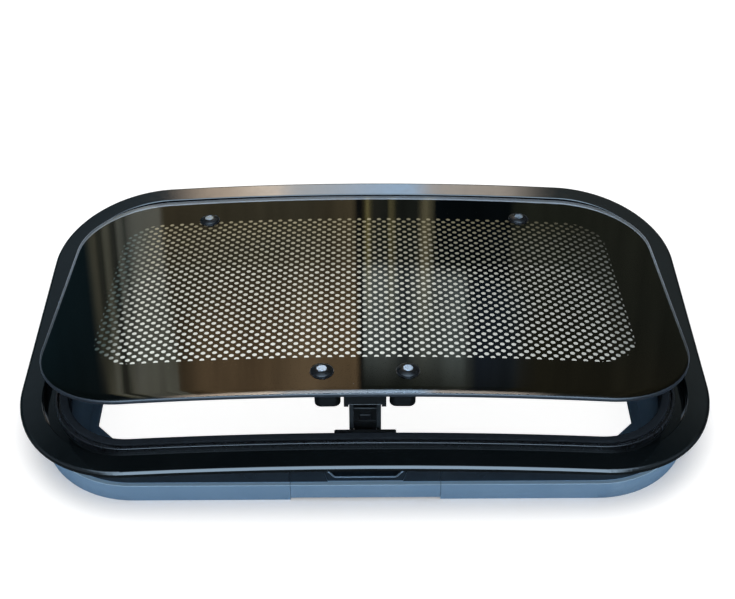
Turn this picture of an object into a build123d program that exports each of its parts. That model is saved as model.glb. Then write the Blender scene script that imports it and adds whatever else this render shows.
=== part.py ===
# Pop-up vehicle sunroof: a crowned glass pane on two rear hinges, held open by a toggle latch.
# Millimetres. X runs along the length, -Y is the latch side, +Y the hinge side, Z is up.
# Z = 0 is the underside of the inner trim ring. The glass stands open, as in the photograph.
# "Inset" is a distance inward from the flange's outer edge, "depth" one below the crowned top.
from build123d import *
import math
import os

os.makedirs("parts", exist_ok=True)

# Plan and crown of the whole sunroof
FRAME_LENGTH = 800.0
FRAME_WIDTH = 500.0
FRAME_CORNER = 138.0
FRAME_HEIGHT = 80.0
CROWN_DROP = 20.0

# Cross recess of a screw head, as shares of the head's diameter and height
CROSS_REACH = 0.6
CROSS_WIDTH = 0.14
CROSS_DEPTH = 0.6

# General clearances
SEAT_GAP = 0.03
PIN_PLAY = 0.05
PIN_PROUD = 1.0
SCREW_PLAY = 0.1

# Outer frame
FLANGE_WIDTH = 26.5
FLANGE_THICKNESS = 4.0
RIM_WIDTH = 3.0
RIM_DEPTH = 6.0
RIM_ROUND = 3.7
RECESS_WALL = 3.0
RECESS_DEPTH = 13.0
PAN_THICKNESS = 3.0
PAN_REACH = 50.0
SPIGOT_WALL = 3.5
SPIGOT_BOTTOM = 26.0
UPSTAND_WALL = 2.0
UPSTAND_HEIGHT = 5.0
RECESS_LIP_ROUND = 1.0

# Roof gasket
GASKET_OUTER_INSET = 4.5
GASKET_INNER_INSET = 22.0
GASKET_THICKNESS = 3.0

# Glass seal
SEAL_LIP_INSET = 39.3
SEAL_LIP_WIDTH = 3.6
SEAL_GROOVE_WIDTH = 2.9
SEAL_BULB_WIDTH = 9.5
SEAL_SKIRT_WIDTH = 5.2
SEAL_SQUEEZE_GAP = 0.3
SEAL_GROOVE_FLOOR = 4.0
SEAL_FIT = 0.1
SEAL_SKIRT_GAP = 0.4
SEAL_SKIRT_LAP = 1.0
SEAL_LIP_ROUND = 1.44
SEAL_BULB_ROUND = 3.12

# Glass pane
GLASS_LENGTH_INSET = 31.0
GLASS_WIDTH_INSET = 33.0
GLASS_CORNER = 107.5
GLASS_THICKNESS = 5.0
GLASS_EDGE_ROUND = 1.2
GLASS_OPEN_ANGLE = 9.4

# Glass fasteners
REAR_STUD_X = 203.0
REAR_STUD_INSET = 89.0
FRONT_STUD_X = 47.0
FRONT_STUD_INSET = 73.0
STUD_DIAMETER = 6.0
STUD_HEAD_DIAMETER = 10.8
STUD_HEAD_THICKNESS = 1.6
GLASS_HOLE_DIAMETER = 8.0
CAP_DIAMETER = 25.0
CAP_HEIGHT = 4.5
CAP_RIM = 1.2
CAP_FLAT_MARGIN = 0.8
CAP_GASKET_DIAMETER = 26.4
CAP_GASKET_THICKNESS = 0.7
NUT_FLATS = 10.0
NUT_HEIGHT = 5.0
STUD_TAIL = 2.0
STUD_END_ROOM = 1.0

# Hinges
HINGE_INSET = 41.0
HINGE_HEIGHT = 45.0
HINGE_PIN_DIAMETER = 5.0
ARM_WIDTH = 24.0
ARM_THICKNESS = 4.0
ARM_LEG_INSET = 64.0
ARM_PLATE_REAR = 26.0
ARM_PLATE_FRONT = 13.0
ARM_FOOT_BOTTOM = 40.0
KNUCKLE_RADIUS = 5.5
ARM_BEND = 3.0
PAD_THICKNESS = 1.5
PAD_LENGTH = 30.0
HINGE_EAR_WALL = 3.0
HINGE_EAR_RADIUS = 5.2
HINGE_EAR_GAP = 0.4
HINGE_BASE_LENGTH = 48.0
HINGE_BASE_OUTER_INSET = 29.0
HINGE_BASE_INNER_INSET = 46.0
HINGE_BASE_THICKNESS = 3.0
HINGE_SCREW_SPREAD = 19.5
HINGE_SCREW_INSET = 33.0
HINGE_SCREW_DIAMETER = 4.0
HINGE_SCREW_LENGTH = 9.0
HINGE_SCREW_HEAD = 7.0
HINGE_SCREW_HEAD_HEIGHT = 2.2
HINGE_BLOCK_LENGTH = 48.0
HINGE_BLOCK_WIDTH = 10.0
HINGE_BLOCK_HEIGHT = 4.0
ARM_PASSAGE_MARGIN = 3.0
ARM_PASSAGE_TOP = 54.0

# Inner trim ring
SKIRT_INSET = 20.0
SKIRT_WALL = 3.0
SKIRT_HEIGHT = 25.0
LEDGE_THICKNESS = 3.0
UPPER_WALL_INSET = 25.0
UPPER_WALL = 3.0
UPPER_WALL_DEPTH = 19.0
TRIM_FLOOR = 3.5
COVE_INSET = 56.0
COVE_WALL = 3.0
COVE_TOP_DEPTH = 22.0
COVE_BEND_HEIGHT = 34.0
COVE_FOOT_INSET = 72.0
LIP_HEIGHT = 7.0
LIP_OUTER_INSET = 69.0
OPENING_INSET = 82.0
OPENING_CORNER_CUT = 46.0
TRIM_EDGE_ROUND = 1.2
PLUG_DIAMETER = 15.5
PLUG_DISH_DIAMETER = 10.0
PLUG_DISH_DEPTH = 0.5
PLUG_PROUD = 0.8
PLUG_HEIGHT = 38.0

# Clamp screws between the trim ring and the outer frame
CLAMP_INSET = 34.5
CLAMP_NEAR_X = 130.0
CLAMP_FAR_X = 255.0
CLAMP_SIDE_Y = 75.0
TOWER_DIAMETER = 17.0
TOWER_TOP = 40.0
BOSS_DIAMETER = 9.5
SLEEVE_PLAY = 0.25
CLAMP_SCREW_DIAMETER = 4.0
CLAMP_SCREW_HEAD = 8.0
CLAMP_SCREW_HEAD_HEIGHT = 2.6
CLAMP_SCREW_SEAT = 4.0
CLAMP_SCREW_TIP = 46.5
CLAMP_HOLE_END = 47.5

# Rear trim cover with its finger pocket
COVER_LENGTH = 168.0
COVER_JOINT_GAP = 0.5
COVER_FLOOR_REACH = 46.0
CUT_REACH = 32.0
COVER_SCREW_X = 60.0
COVER_SCREW_INSET = 39.0
COVER_SCREW_DIAMETER = 3.0
COVER_SCREW_HEAD = 6.0
COVER_SCREW_HEAD_HEIGHT = 1.8
COVER_BOSS_HEIGHT = 6.0
COVER_BOSS_CAP = 1.0
RELIEF_DEPTH = 1.2
RELIEF_BOTTOM_WIDTH = 84.0
RELIEF_TOP_WIDTH = 98.0
RELIEF_TOP = 53.0
POCKET_BOTTOM = 34.0
POCKET_TOP = 49.0
POCKET_BOTTOM_WIDTH = 76.0
POCKET_TOP_WIDTH = 88.0
POCKET_DEPTH = 9.0
POCKET_WALL = 2.0
POCKET_CORNER = 5.0

# Toggle latch
LATCH_PIVOT_INSET = 70.0
LATCH_PIVOT_HEIGHT = 37.0
LINK_PIN_INSET = 76.5
LINK_PIN_HEIGHT = 60.0
KNEE_OVER_CENTRE = 6.5
LATCH_PIN_DIAMETER = 5.0
LEVER_WIDTH = 25.0
LEVER_PAST_KNEE = 22.0
LEVER_FRONT = 4.5
LEVER_BACK = 4.0
LEVER_BOSS_RADIUS = 6.5
LEVER_EYE_RADIUS = 5.5
LEVER_ROUND = 1.6
CHEEK_GAP = 0.3
CHEEK_WALL = 4.9
CHEEK_TAIL = 8.5
LINK_HALF_WIDTH = 6.0
LINK_HUB_RADIUS = 5.0
BUTTON_WIDTH = 12.0
BUTTON_ABOVE_KNEE = 4.8
BUTTON_LENGTH = 8.0
BUTTON_PROUD = 2.0
BUTTON_TRAVEL = 1.6
BUTTON_THICKNESS = 3.4
BUTTON_PLAY = 0.35
BUTTON_ROUND = 0.6

# Latch base on the cove
BASE_LENGTH = 69.0
BASE_THICKNESS = 3.5
BASE_BOTTOM = 34.5
BASE_TOP_GAP = 1.0
BASE_FIT = 0.1
BASE_EAR_GAP = 0.5
BASE_EAR_WALL = 4.0
BASE_EAR_RADIUS = 7.0
BASE_EAR_RISE = 6.0
BASE_EAR_NECK = 5.5
BASE_CORNER = 2.0
BASE_SCREW_X = 29.0
BASE_SCREW_LOW = 40.0
BASE_SCREW_HIGH = 52.0
BASE_SCREW_DIAMETER = 4.0
BASE_SCREW_HEAD = 7.0
BASE_SCREW_HEAD_HEIGHT = 2.0
BASE_SPACER_DIAMETER = 9.0

# Bracket under the glass
BRACKET_LENGTH = 121.0
BRACKET_OUTER_INSET = 61.15
BRACKET_INNER_INSET = 94.0
BRACKET_PLATE = 3.0
BRACKET_PAD_THICKNESS = 1.2
BRACKET_EAR_GAP = 0.7
BRACKET_EAR_WALL = 5.0
BRACKET_FACE_WALL = 2.5
BRACKET_FACE_BOTTOM = 42.6
BRACKET_EAR_DROP = 1.0
BRACKET_EAR_TIP = 37.5
BRACKET_EAR_TIP_INSET = 64.0
BRACKET_EAR_BACK_INSET = 84.0
BRACKET_EAR_BACK = 57.0
BRACKET_CORNER = 6.0

# Knobs
KNOB_LENGTH = 29.0
KNOB_WIDTH = 15.5
KNOB_HEIGHT = 32.0
KNOB_OFFSET = 5.0
KNOB_END_ROUND = 3.0
KNOB_NECK_DIAMETER = 13.0
KNOB_NECK_HEIGHT = 3.0
KNOB_SEAT_GAP = 0.2
KNOB_BORE_DEPTH = 12.0

# Places worked out from the sizes above
CROWN_RADIUS = ((FRAME_LENGTH / 2) ** 2 + CROWN_DROP**2) / (2 * CROWN_DROP)
CROWN_AXIS_Z = FRAME_HEIGHT - CROWN_RADIUS
NEAR_EDGE = -FRAME_WIDTH / 2
FAR_EDGE = FRAME_WIDTH / 2
PAN_UNDERSIDE = RECESS_DEPTH + PAN_THICKNESS
RECESS_OUTER_INSET = FLANGE_WIDTH - RECESS_WALL
SPIGOT_OUTER_INSET = PAN_REACH - SPIGOT_WALL
SEAL_TOP = GLASS_THICKNESS + SEAL_SQUEEZE_GAP
SEAL_BULB_INSET = SEAL_LIP_INSET + SEAL_LIP_WIDTH + SEAL_GROOVE_WIDTH
SEAL_INNER_INSET = SEAL_BULB_INSET + SEAL_BULB_WIDTH
SEAL_SKIRT_DEPTH = COVE_TOP_DEPTH - SEAL_SKIRT_GAP
GLASS_LENGTH = FRAME_LENGTH - 2 * GLASS_LENGTH_INSET
GLASS_WIDTH = FRAME_WIDTH - 2 * GLASS_WIDTH_INSET
REAR_STUD_Y = FAR_EDGE - REAR_STUD_INSET
FRONT_STUD_Y = NEAR_EDGE + FRONT_STUD_INSET
HINGE_Y = FAR_EDGE - HINGE_INSET
GLASS_HINGE = Axis((0, HINGE_Y, HINGE_HEIGHT), (1, 0, 0))
CLAMP_X = FRAME_LENGTH / 2 - CLAMP_INSET
CLAMP_Y = FRAME_WIDTH / 2 - CLAMP_INSET
CLAMP_POINTS = [(x, y) for x in (-CLAMP_FAR_X, -CLAMP_NEAR_X, CLAMP_NEAR_X, CLAMP_FAR_X)
                for y in (-CLAMP_Y, CLAMP_Y)]
CLAMP_POINTS += [(x, y) for x in (-CLAMP_X, CLAMP_X) for y in (-CLAMP_SIDE_Y, CLAMP_SIDE_Y)]
SIDES = {"left": -1, "right": 1}
COVER_SCREW_POINTS = [(x, NEAR_EDGE + COVER_SCREW_INSET) for x in (-COVER_SCREW_X, COVER_SCREW_X)]
ARM_PASSAGE = ARM_WIDTH + 2 * ARM_PASSAGE_MARGIN
HINGE_SCREW_POINTS = [
    (side * REAR_STUD_X + spread, FAR_EDGE - HINGE_SCREW_INSET)
    for side in SIDES.values()
    for spread in (-HINGE_SCREW_SPREAD, HINGE_SCREW_SPREAD)
]
HINGE_PLATE_DEPTH = PAN_UNDERSIDE + HINGE_BASE_THICKNESS
BASE_SCREW_POINTS = [
    (x, z) for x in (-BASE_SCREW_X, BASE_SCREW_X) for z in (BASE_SCREW_LOW, BASE_SCREW_HIGH)
]
PLUG_POINTS = [(-CLAMP_NEAR_X, PLUG_HEIGHT), (CLAMP_NEAR_X, PLUG_HEIGHT)]
CUT_THROUGH = FRAME_HEIGHT * 2


def crown_height(x, depth=0.0):
    """Height of the crowned surface a depth below the top, at a distance x from mid-length."""
    return CROWN_AXIS_Z + math.sqrt((CROWN_RADIUS - depth) ** 2 - x**2)


def frame_outline(inset, mode=Mode.ADD):
    """Rounded rectangle of the frame's plan, drawn in by an inset."""
    length = FRAME_LENGTH - 2 * inset
    width = FRAME_WIDTH - 2 * inset
    RectangleRounded(length, width, FRAME_CORNER - inset, mode=mode)


def crown_slab(top_depth, bottom_depth):
    """Solid between two crowned surfaces, over the whole plan."""
    reach = FRAME_LENGTH / 2 + FLANGE_WIDTH
    with BuildPart() as slab:
        with BuildSketch(Plane.XZ):
            with BuildLine():
                upper = ThreePointArc(
                    (-reach, crown_height(reach, top_depth)),
                    (0, crown_height(0, top_depth)),
                    (reach, crown_height(reach, top_depth)),
                )
                lower = ThreePointArc(
                    (-reach, crown_height(reach, bottom_depth)),
                    (0, crown_height(0, bottom_depth)),
                    (reach, crown_height(reach, bottom_depth)),
                )
                Line(upper @ 0, lower @ 0)
                Line(upper @ 1, lower @ 1)
            make_face()
        extrude(amount=FRAME_WIDTH, both=True)
    return slab.part


def crowned_ring(outer_inset, inner_inset, top_depth, bottom_depth, bottom=0.0):
    """Ring between two insets with crowned faces, or a flat foot where bottom is higher."""
    with BuildPart() as ring:
        with BuildSketch(Plane.XY.offset(bottom)):
            frame_outline(outer_inset)
            frame_outline(inner_inset, mode=Mode.SUBTRACT)
        extrude(amount=FRAME_HEIGHT)
        add(crown_slab(top_depth, bottom_depth), mode=Mode.INTERSECT)
    return ring.part


def crowned_columns(points, diameter, bottom, top_depth):
    """Upright round columns from a flat foot up to a crowned surface."""
    with BuildPart() as columns:
        with BuildSketch(Plane.XY.offset(bottom)):
            with Locations(*points):
                Circle(diameter / 2)
        extrude(amount=FRAME_HEIGHT)
        add(crown_slab(top_depth, CUT_THROUGH), mode=Mode.INTERSECT)
    return columns.part


def crowned_block(length, outer_inset, inner_inset, top_depth, bottom_depth, centre_x, side=1):
    """Block with crowned faces beside the near or far edge, between two insets."""
    middle = side * (FRAME_WIDTH - outer_inset - inner_inset) / 2
    with BuildPart() as block:
        with BuildSketch():
            with Locations((centre_x, middle)):
                Rectangle(length, inner_inset - outer_inset)
        extrude(amount=FRAME_HEIGHT)
        add(crown_slab(top_depth, bottom_depth), mode=Mode.INTERSECT)
    return block.part


def glass_plane(x, y):
    """Plane on the closed glass's top face at a point, square to the glass there."""
    tilt = math.asin(x / CROWN_RADIUS)
    across = (math.cos(tilt), 0, -math.sin(tilt))
    outward = (math.sin(tilt), 0, math.cos(tilt))
    return Plane(origin=(x, y, crown_height(x)), x_dir=across, z_dir=outward)


def opened(part):
    """The part as it stands once the closed glass is swung open about the hinge line."""
    return part.rotate(GLASS_HINGE, -GLASS_OPEN_ANGLE)


def opened_point(y, z):
    """Where a point of the closed glass assembly lies once the glass is open, across X."""
    angle = math.radians(-GLASS_OPEN_ANGLE)
    out = y - HINGE_Y
    up = z - HINGE_HEIGHT
    new_y = HINGE_Y + out * math.cos(angle) - up * math.sin(angle)
    new_z = HINGE_HEIGHT + out * math.sin(angle) + up * math.cos(angle)
    return new_y, new_z


def outward_plane(inset):
    """Upright plane that faces the latch side, at an inset from the near edge."""
    return Plane.XZ.offset(-NEAR_EDGE - inset)


def save(part, name):
    """Label a finished piece and write it to its own file."""
    part.label = name
    export_step(part, "parts/" + name + ".step")


# Outer frame: one moulding of flange, rim, recess, pan, seal upstand, spigot and bosses
flange = crowned_ring(0, FLANGE_WIDTH - RECESS_WALL / 2, 0, FLANGE_THICKNESS)
rim = crowned_ring(0, RIM_WIDTH, 0, RIM_DEPTH)
with BuildPart() as recess_wall:
    add(crowned_ring(RECESS_OUTER_INSET, FLANGE_WIDTH, 0, PAN_UNDERSIDE))
    wall_top = recess_wall.faces().sort_by(Axis.Z)[-1]
    fillet(wall_top.inner_wires()[0].edges(), RECESS_LIP_ROUND)
pan = crowned_ring(RECESS_OUTER_INSET, PAN_REACH, RECESS_DEPTH, PAN_UNDERSIDE)
upstand = crowned_ring(
    SPIGOT_OUTER_INSET,
    SPIGOT_OUTER_INSET + UPSTAND_WALL,
    RECESS_DEPTH - UPSTAND_HEIGHT,
    PAN_UNDERSIDE,
)
spigot = crowned_ring(
    SPIGOT_OUTER_INSET, PAN_REACH, RECESS_DEPTH, FRAME_HEIGHT, SPIGOT_BOTTOM
)
frame_bosses = crowned_columns(CLAMP_POINTS, BOSS_DIAMETER, TOWER_TOP, RECESS_DEPTH)
BLOCK_INSET = HINGE_SCREW_INSET - HINGE_BLOCK_WIDTH / 2
hinge_blocks = [
    crowned_block(
        HINGE_BLOCK_LENGTH,
        BLOCK_INSET,
        BLOCK_INSET + HINGE_BLOCK_WIDTH,
        RECESS_DEPTH - HINGE_BLOCK_HEIGHT,
        PAN_UNDERSIDE,
        side * REAR_STUD_X,
    )
    for side in SIDES.values()
]


def hinge_screw_seat(x):
    """Height of a hinge screw's seat under the sloping base plate."""
    return crown_height(abs(x) + HINGE_SCREW_HEAD / 2, HINGE_PLATE_DEPTH) - SEAT_GAP


with BuildPart() as outer_frame:
    add(flange)
    add(rim)
    crown_face = outer_frame.faces().sort_by(Axis.Z)[-1]
    fillet(crown_face.outer_wire().edges(), RIM_ROUND)
    add(recess_wall.part)
    add(pan)
    add(upstand)
    add(spigot)
    add(frame_bosses)
    for block in hinge_blocks:
        add(block)
    with BuildSketch(Plane.XY.offset(SPIGOT_BOTTOM)):
        with Locations(*[(side * REAR_STUD_X, FAR_EDGE - PAN_REACH) for side in SIDES.values()]):
            Rectangle(ARM_PASSAGE, SPIGOT_WALL * 2)
    extrude(amount=ARM_PASSAGE_TOP - SPIGOT_BOTTOM, mode=Mode.SUBTRACT)
    with BuildSketch(Plane.XY.offset(TOWER_TOP)):
        with Locations(*CLAMP_POINTS):
            Circle(CLAMP_SCREW_DIAMETER / 2 + SCREW_PLAY)
    extrude(amount=CLAMP_HOLE_END - TOWER_TOP, mode=Mode.SUBTRACT)
    for x, y in HINGE_SCREW_POINTS:
        with BuildSketch(Plane.XY.offset(hinge_screw_seat(x))):
            with Locations((x, y)):
                Circle(HINGE_SCREW_DIAMETER / 2 + SCREW_PLAY)
        extrude(amount=HINGE_SCREW_LENGTH + SCREW_PLAY, mode=Mode.SUBTRACT)
    with BuildSketch(Plane.XZ.offset(-NEAR_EDGE - PAN_REACH - SPIGOT_WALL)):
        with Locations(*BASE_SCREW_POINTS):
            Circle(BASE_SCREW_DIAMETER / 2 + SCREW_PLAY)
    extrude(amount=SPIGOT_WALL * 3, mode=Mode.SUBTRACT)
save(outer_frame.part, "outer_frame")

# Foam gasket that seats the flange on the roof skin
roof_gasket = crowned_ring(
    GASKET_OUTER_INSET,
    GASKET_INNER_INSET,
    FLANGE_THICKNESS,
    FLANGE_THICKNESS + GASKET_THICKNESS,
)
save(roof_gasket, "roof_gasket")

# Rubber seal: an outer lip and a main bulb on one base, pushed over the frame's upstand
seal_lip = crowned_ring(SEAL_LIP_INSET, SEAL_LIP_INSET + SEAL_LIP_WIDTH, SEAL_TOP, RECESS_DEPTH)
seal_floor = crowned_ring(
    SEAL_LIP_INSET, SEAL_INNER_INSET, SEAL_TOP + SEAL_GROOVE_FLOOR, RECESS_DEPTH
)
seal_bulb = crowned_ring(SEAL_BULB_INSET, SEAL_INNER_INSET, SEAL_TOP, RECESS_DEPTH)
seal_skirt = crowned_ring(
    SEAL_INNER_INSET - SEAL_SKIRT_WIDTH,
    SEAL_INNER_INSET,
    RECESS_DEPTH - SEAL_SKIRT_LAP,
    SEAL_SKIRT_DEPTH,
)
upstand_slot = crowned_ring(
    SPIGOT_OUTER_INSET - SEAL_FIT,
    SPIGOT_OUTER_INSET + UPSTAND_WALL + SEAL_FIT,
    RECESS_DEPTH - UPSTAND_HEIGHT - SEAL_FIT,
    PAN_UNDERSIDE,
)
with BuildPart() as rounded_lip:
    add(seal_lip)
    lip_face = rounded_lip.faces().sort_by(Axis.Z)[-1]
    fillet(lip_face.edges(), SEAL_LIP_ROUND)
with BuildPart() as rounded_bulb:
    add(seal_bulb)
    bulb_face = rounded_bulb.faces().sort_by(Axis.Z)[-1]
    fillet(bulb_face.edges(), SEAL_BULB_ROUND)
with BuildPart() as glass_seal:
    add(seal_floor)
    add(rounded_lip.part)
    add(rounded_bulb.part)
    add(seal_skirt)
    add(upstand_slot, mode=Mode.SUBTRACT)
save(glass_seal.part, "glass_seal")

# Inner trim ring: floor, skirt, ledge, upper wall, screw towers and the cove round the opening
COVE_BEND = ((COVE_FOOT_INSET - COVE_INSET) ** 2 + (COVE_BEND_HEIGHT - LIP_HEIGHT) ** 2) / (
    2 * (COVE_FOOT_INSET - COVE_INSET)
)
COVE_CENTRE_INSET = COVE_INSET + COVE_BEND
COVE_BACK_BEND = COVE_BEND + COVE_WALL
COVE_HALF_ANGLE = math.asin((COVE_BEND_HEIGHT - LIP_HEIGHT) / COVE_BEND) / 2
COVE_BACK_HALF_ANGLE = math.asin((COVE_BEND_HEIGHT - TRIM_FLOOR) / COVE_BACK_BEND) / 2


def cove_point(radius, angle):
    """Point on the cove's bend, at an angle below the level of its centre."""
    inset = COVE_CENTRE_INSET - radius * math.cos(angle)
    return (NEAR_EDGE + inset, COVE_BEND_HEIGHT - radius * math.sin(angle))


with BuildLine() as cove_path:
    half_length = FRAME_LENGTH / 2 - COVE_INSET
    half_width = FRAME_WIDTH / 2 - COVE_INSET
    corner = FRAME_CORNER - COVE_INSET
    run = Line((0, -half_width), (half_length - corner, -half_width))
    run = JernArc(run @ 1, run % 1, corner, 90)
    run = Line(run @ 1, (half_length, half_width - corner))
    run = JernArc(run @ 1, run % 1, corner, 90)
    run = Line(run @ 1, (corner - half_length, half_width))
    run = JernArc(run @ 1, run % 1, corner, 90)
    run = Line(run @ 1, (-half_length, corner - half_width))
    run = JernArc(run @ 1, run % 1, corner, 90)
    Line(run @ 1, (0, -half_width))

with BuildPart() as cove:
    with BuildSketch(Plane.YZ):
        with BuildLine():
            face_bend = ThreePointArc(
                cove_point(COVE_BEND, 0),
                cove_point(COVE_BEND, COVE_HALF_ANGLE),
                cove_point(COVE_BEND, COVE_HALF_ANGLE * 2),
            )
            back_bend = ThreePointArc(
                cove_point(COVE_BACK_BEND, 0),
                cove_point(COVE_BACK_BEND, COVE_BACK_HALF_ANGLE),
                cove_point(COVE_BACK_BEND, COVE_BACK_HALF_ANGLE * 2),
            )
            face_line = Line(face_bend @ 0, (NEAR_EDGE + COVE_INSET, FRAME_HEIGHT))
            back_line = Line(back_bend @ 0, (NEAR_EDGE + COVE_INSET - COVE_WALL, FRAME_HEIGHT))
            Line(face_line @ 1, back_line @ 1)
            Line(face_bend @ 1, back_bend @ 1)
        make_face()
    sweep(path=cove_path.wires()[0])
    add(crown_slab(COVE_TOP_DEPTH, CUT_THROUGH), mode=Mode.INTERSECT)

upper_wall = crowned_ring(
    UPPER_WALL_INSET,
    UPPER_WALL_INSET + UPPER_WALL,
    UPPER_WALL_DEPTH,
    CUT_THROUGH,
    SKIRT_HEIGHT - LEDGE_THICKNESS,
)

tower_sleeves = crowned_columns(CLAMP_POINTS, TOWER_DIAMETER, 0, UPPER_WALL_DEPTH)

with BuildSketch() as opening:
    Rectangle(FRAME_LENGTH - 2 * OPENING_INSET, FRAME_WIDTH - 2 * OPENING_INSET)
    chamfer(opening.vertices(), OPENING_CORNER_CUT)

with BuildPart() as trim_ring:
    with BuildSketch():
        frame_outline(SKIRT_INSET)
        add(opening.sketch, mode=Mode.SUBTRACT)
    extrude(amount=TRIM_FLOOR)
    with BuildSketch():
        frame_outline(LIP_OUTER_INSET)
        add(opening.sketch, mode=Mode.SUBTRACT)
    extrude(amount=LIP_HEIGHT)
    fillet(trim_ring.faces().sort_by(Axis.Z)[-1].inner_wires()[0].edges(), TRIM_EDGE_ROUND)
    with BuildSketch():
        frame_outline(SKIRT_INSET)
        frame_outline(SKIRT_INSET + SKIRT_WALL, mode=Mode.SUBTRACT)
    extrude(amount=SKIRT_HEIGHT)
    with BuildSketch(Plane.XY.offset(SKIRT_HEIGHT - LEDGE_THICKNESS)):
        frame_outline(SKIRT_INSET)
        frame_outline(UPPER_WALL_INSET + UPPER_WALL, mode=Mode.SUBTRACT)
    extrude(amount=LEDGE_THICKNESS)
    ledge_face = trim_ring.faces().filter_by_position(Axis.Z, SKIRT_HEIGHT, SKIRT_HEIGHT)[0]
    fillet(ledge_face.outer_wire().edges(), TRIM_EDGE_ROUND)
    add(upper_wall)
    add(tower_sleeves)
    with BuildSketch(Plane.XY.offset(TOWER_TOP)):
        with Locations(*CLAMP_POINTS):
            Circle(BOSS_DIAMETER / 2 + SLEEVE_PLAY)
    extrude(amount=FRAME_HEIGHT, mode=Mode.SUBTRACT)
    with BuildSketch():
        with Locations(*CLAMP_POINTS):
            Circle(CLAMP_SCREW_HEAD / 2 + SCREW_PLAY)
    extrude(amount=CLAMP_SCREW_SEAT, mode=Mode.SUBTRACT)
    with BuildSketch():
        with Locations(*CLAMP_POINTS):
            Circle(CLAMP_SCREW_DIAMETER / 2 + SCREW_PLAY)
    extrude(amount=TOWER_TOP, mode=Mode.SUBTRACT)
    with BuildSketch():
        with Locations((0, NEAR_EDGE + (SKIRT_INSET + CUT_REACH) / 2)):
            Rectangle(COVER_LENGTH + 2 * COVER_JOINT_GAP, CUT_REACH - SKIRT_INSET)
    extrude(amount=FRAME_HEIGHT, mode=Mode.SUBTRACT)
    with BuildSketch(outward_plane(UPPER_WALL_INSET)):
        with Locations(*PLUG_POINTS):
            Circle(PLUG_DIAMETER / 2)
    extrude(amount=PLUG_PROUD)
    with BuildSketch(outward_plane(UPPER_WALL_INSET - PLUG_PROUD + PLUG_DISH_DEPTH)):
        with Locations(*PLUG_POINTS):
            Circle(PLUG_DISH_DIAMETER / 2)
    extrude(amount=PLUG_PROUD, mode=Mode.SUBTRACT)
    with BuildSketch():
        with Locations(*COVER_SCREW_POINTS):
            Circle(COVER_SCREW_HEAD / 2 + SCREW_PLAY)
    extrude(amount=COVER_SCREW_HEAD_HEIGHT + SCREW_PLAY, mode=Mode.SUBTRACT)
    with BuildSketch():
        with Locations(*COVER_SCREW_POINTS):
            Circle(COVER_SCREW_DIAMETER / 2 + SCREW_PLAY)
    extrude(amount=TRIM_FLOOR, mode=Mode.SUBTRACT)
save(trim_ring.part, "trim_ring")

# Cove of the trim ring, a wall that rises from the lip and carries the latch base
with BuildPart() as trim_cove:
    add(cove.part)
    with BuildSketch():
        frame_outline(SKIRT_INSET)
    extrude(amount=LIP_HEIGHT + SEAT_GAP, mode=Mode.SUBTRACT)
    with BuildSketch(Plane.XY.offset(COVE_BEND_HEIGHT)):
        with Locations(*[(side * REAR_STUD_X, FAR_EDGE - COVE_INSET) for side in SIDES.values()]):
            Rectangle(ARM_PASSAGE, COVE_WALL * 3)
    extrude(amount=FRAME_HEIGHT, mode=Mode.SUBTRACT)
    with BuildSketch(Plane.XZ.offset(-NEAR_EDGE - COVE_INSET + COVE_WALL)):
        with Locations(*BASE_SCREW_POINTS):
            Circle(BASE_SPACER_DIAMETER / 2)
    extrude(amount=COVE_INSET - COVE_WALL - PAN_REACH - BASE_FIT)
    with BuildSketch(Plane.XZ.offset(-NEAR_EDGE - COVE_INSET)):
        with Locations(*BASE_SCREW_POINTS):
            Circle(BASE_SCREW_DIAMETER / 2 + SCREW_PLAY)
    extrude(amount=COVE_INSET - PAN_REACH, mode=Mode.SUBTRACT)
save(trim_cove.part, "trim_cove")

# Centre section of the ring on the latch side, a separate cover with a finger pocket
COVER_TOP = TRIM_FLOOR + LEDGE_THICKNESS


def pocket_outline(bottom, top, bottom_width, top_width):
    """Upright trapezoid that is wider at its top, seen from the latch side."""
    Polygon(
        (-bottom_width / 2, bottom),
        (bottom_width / 2, bottom),
        (top_width / 2, top),
        (-top_width / 2, top),
        align=None,
    )


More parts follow.
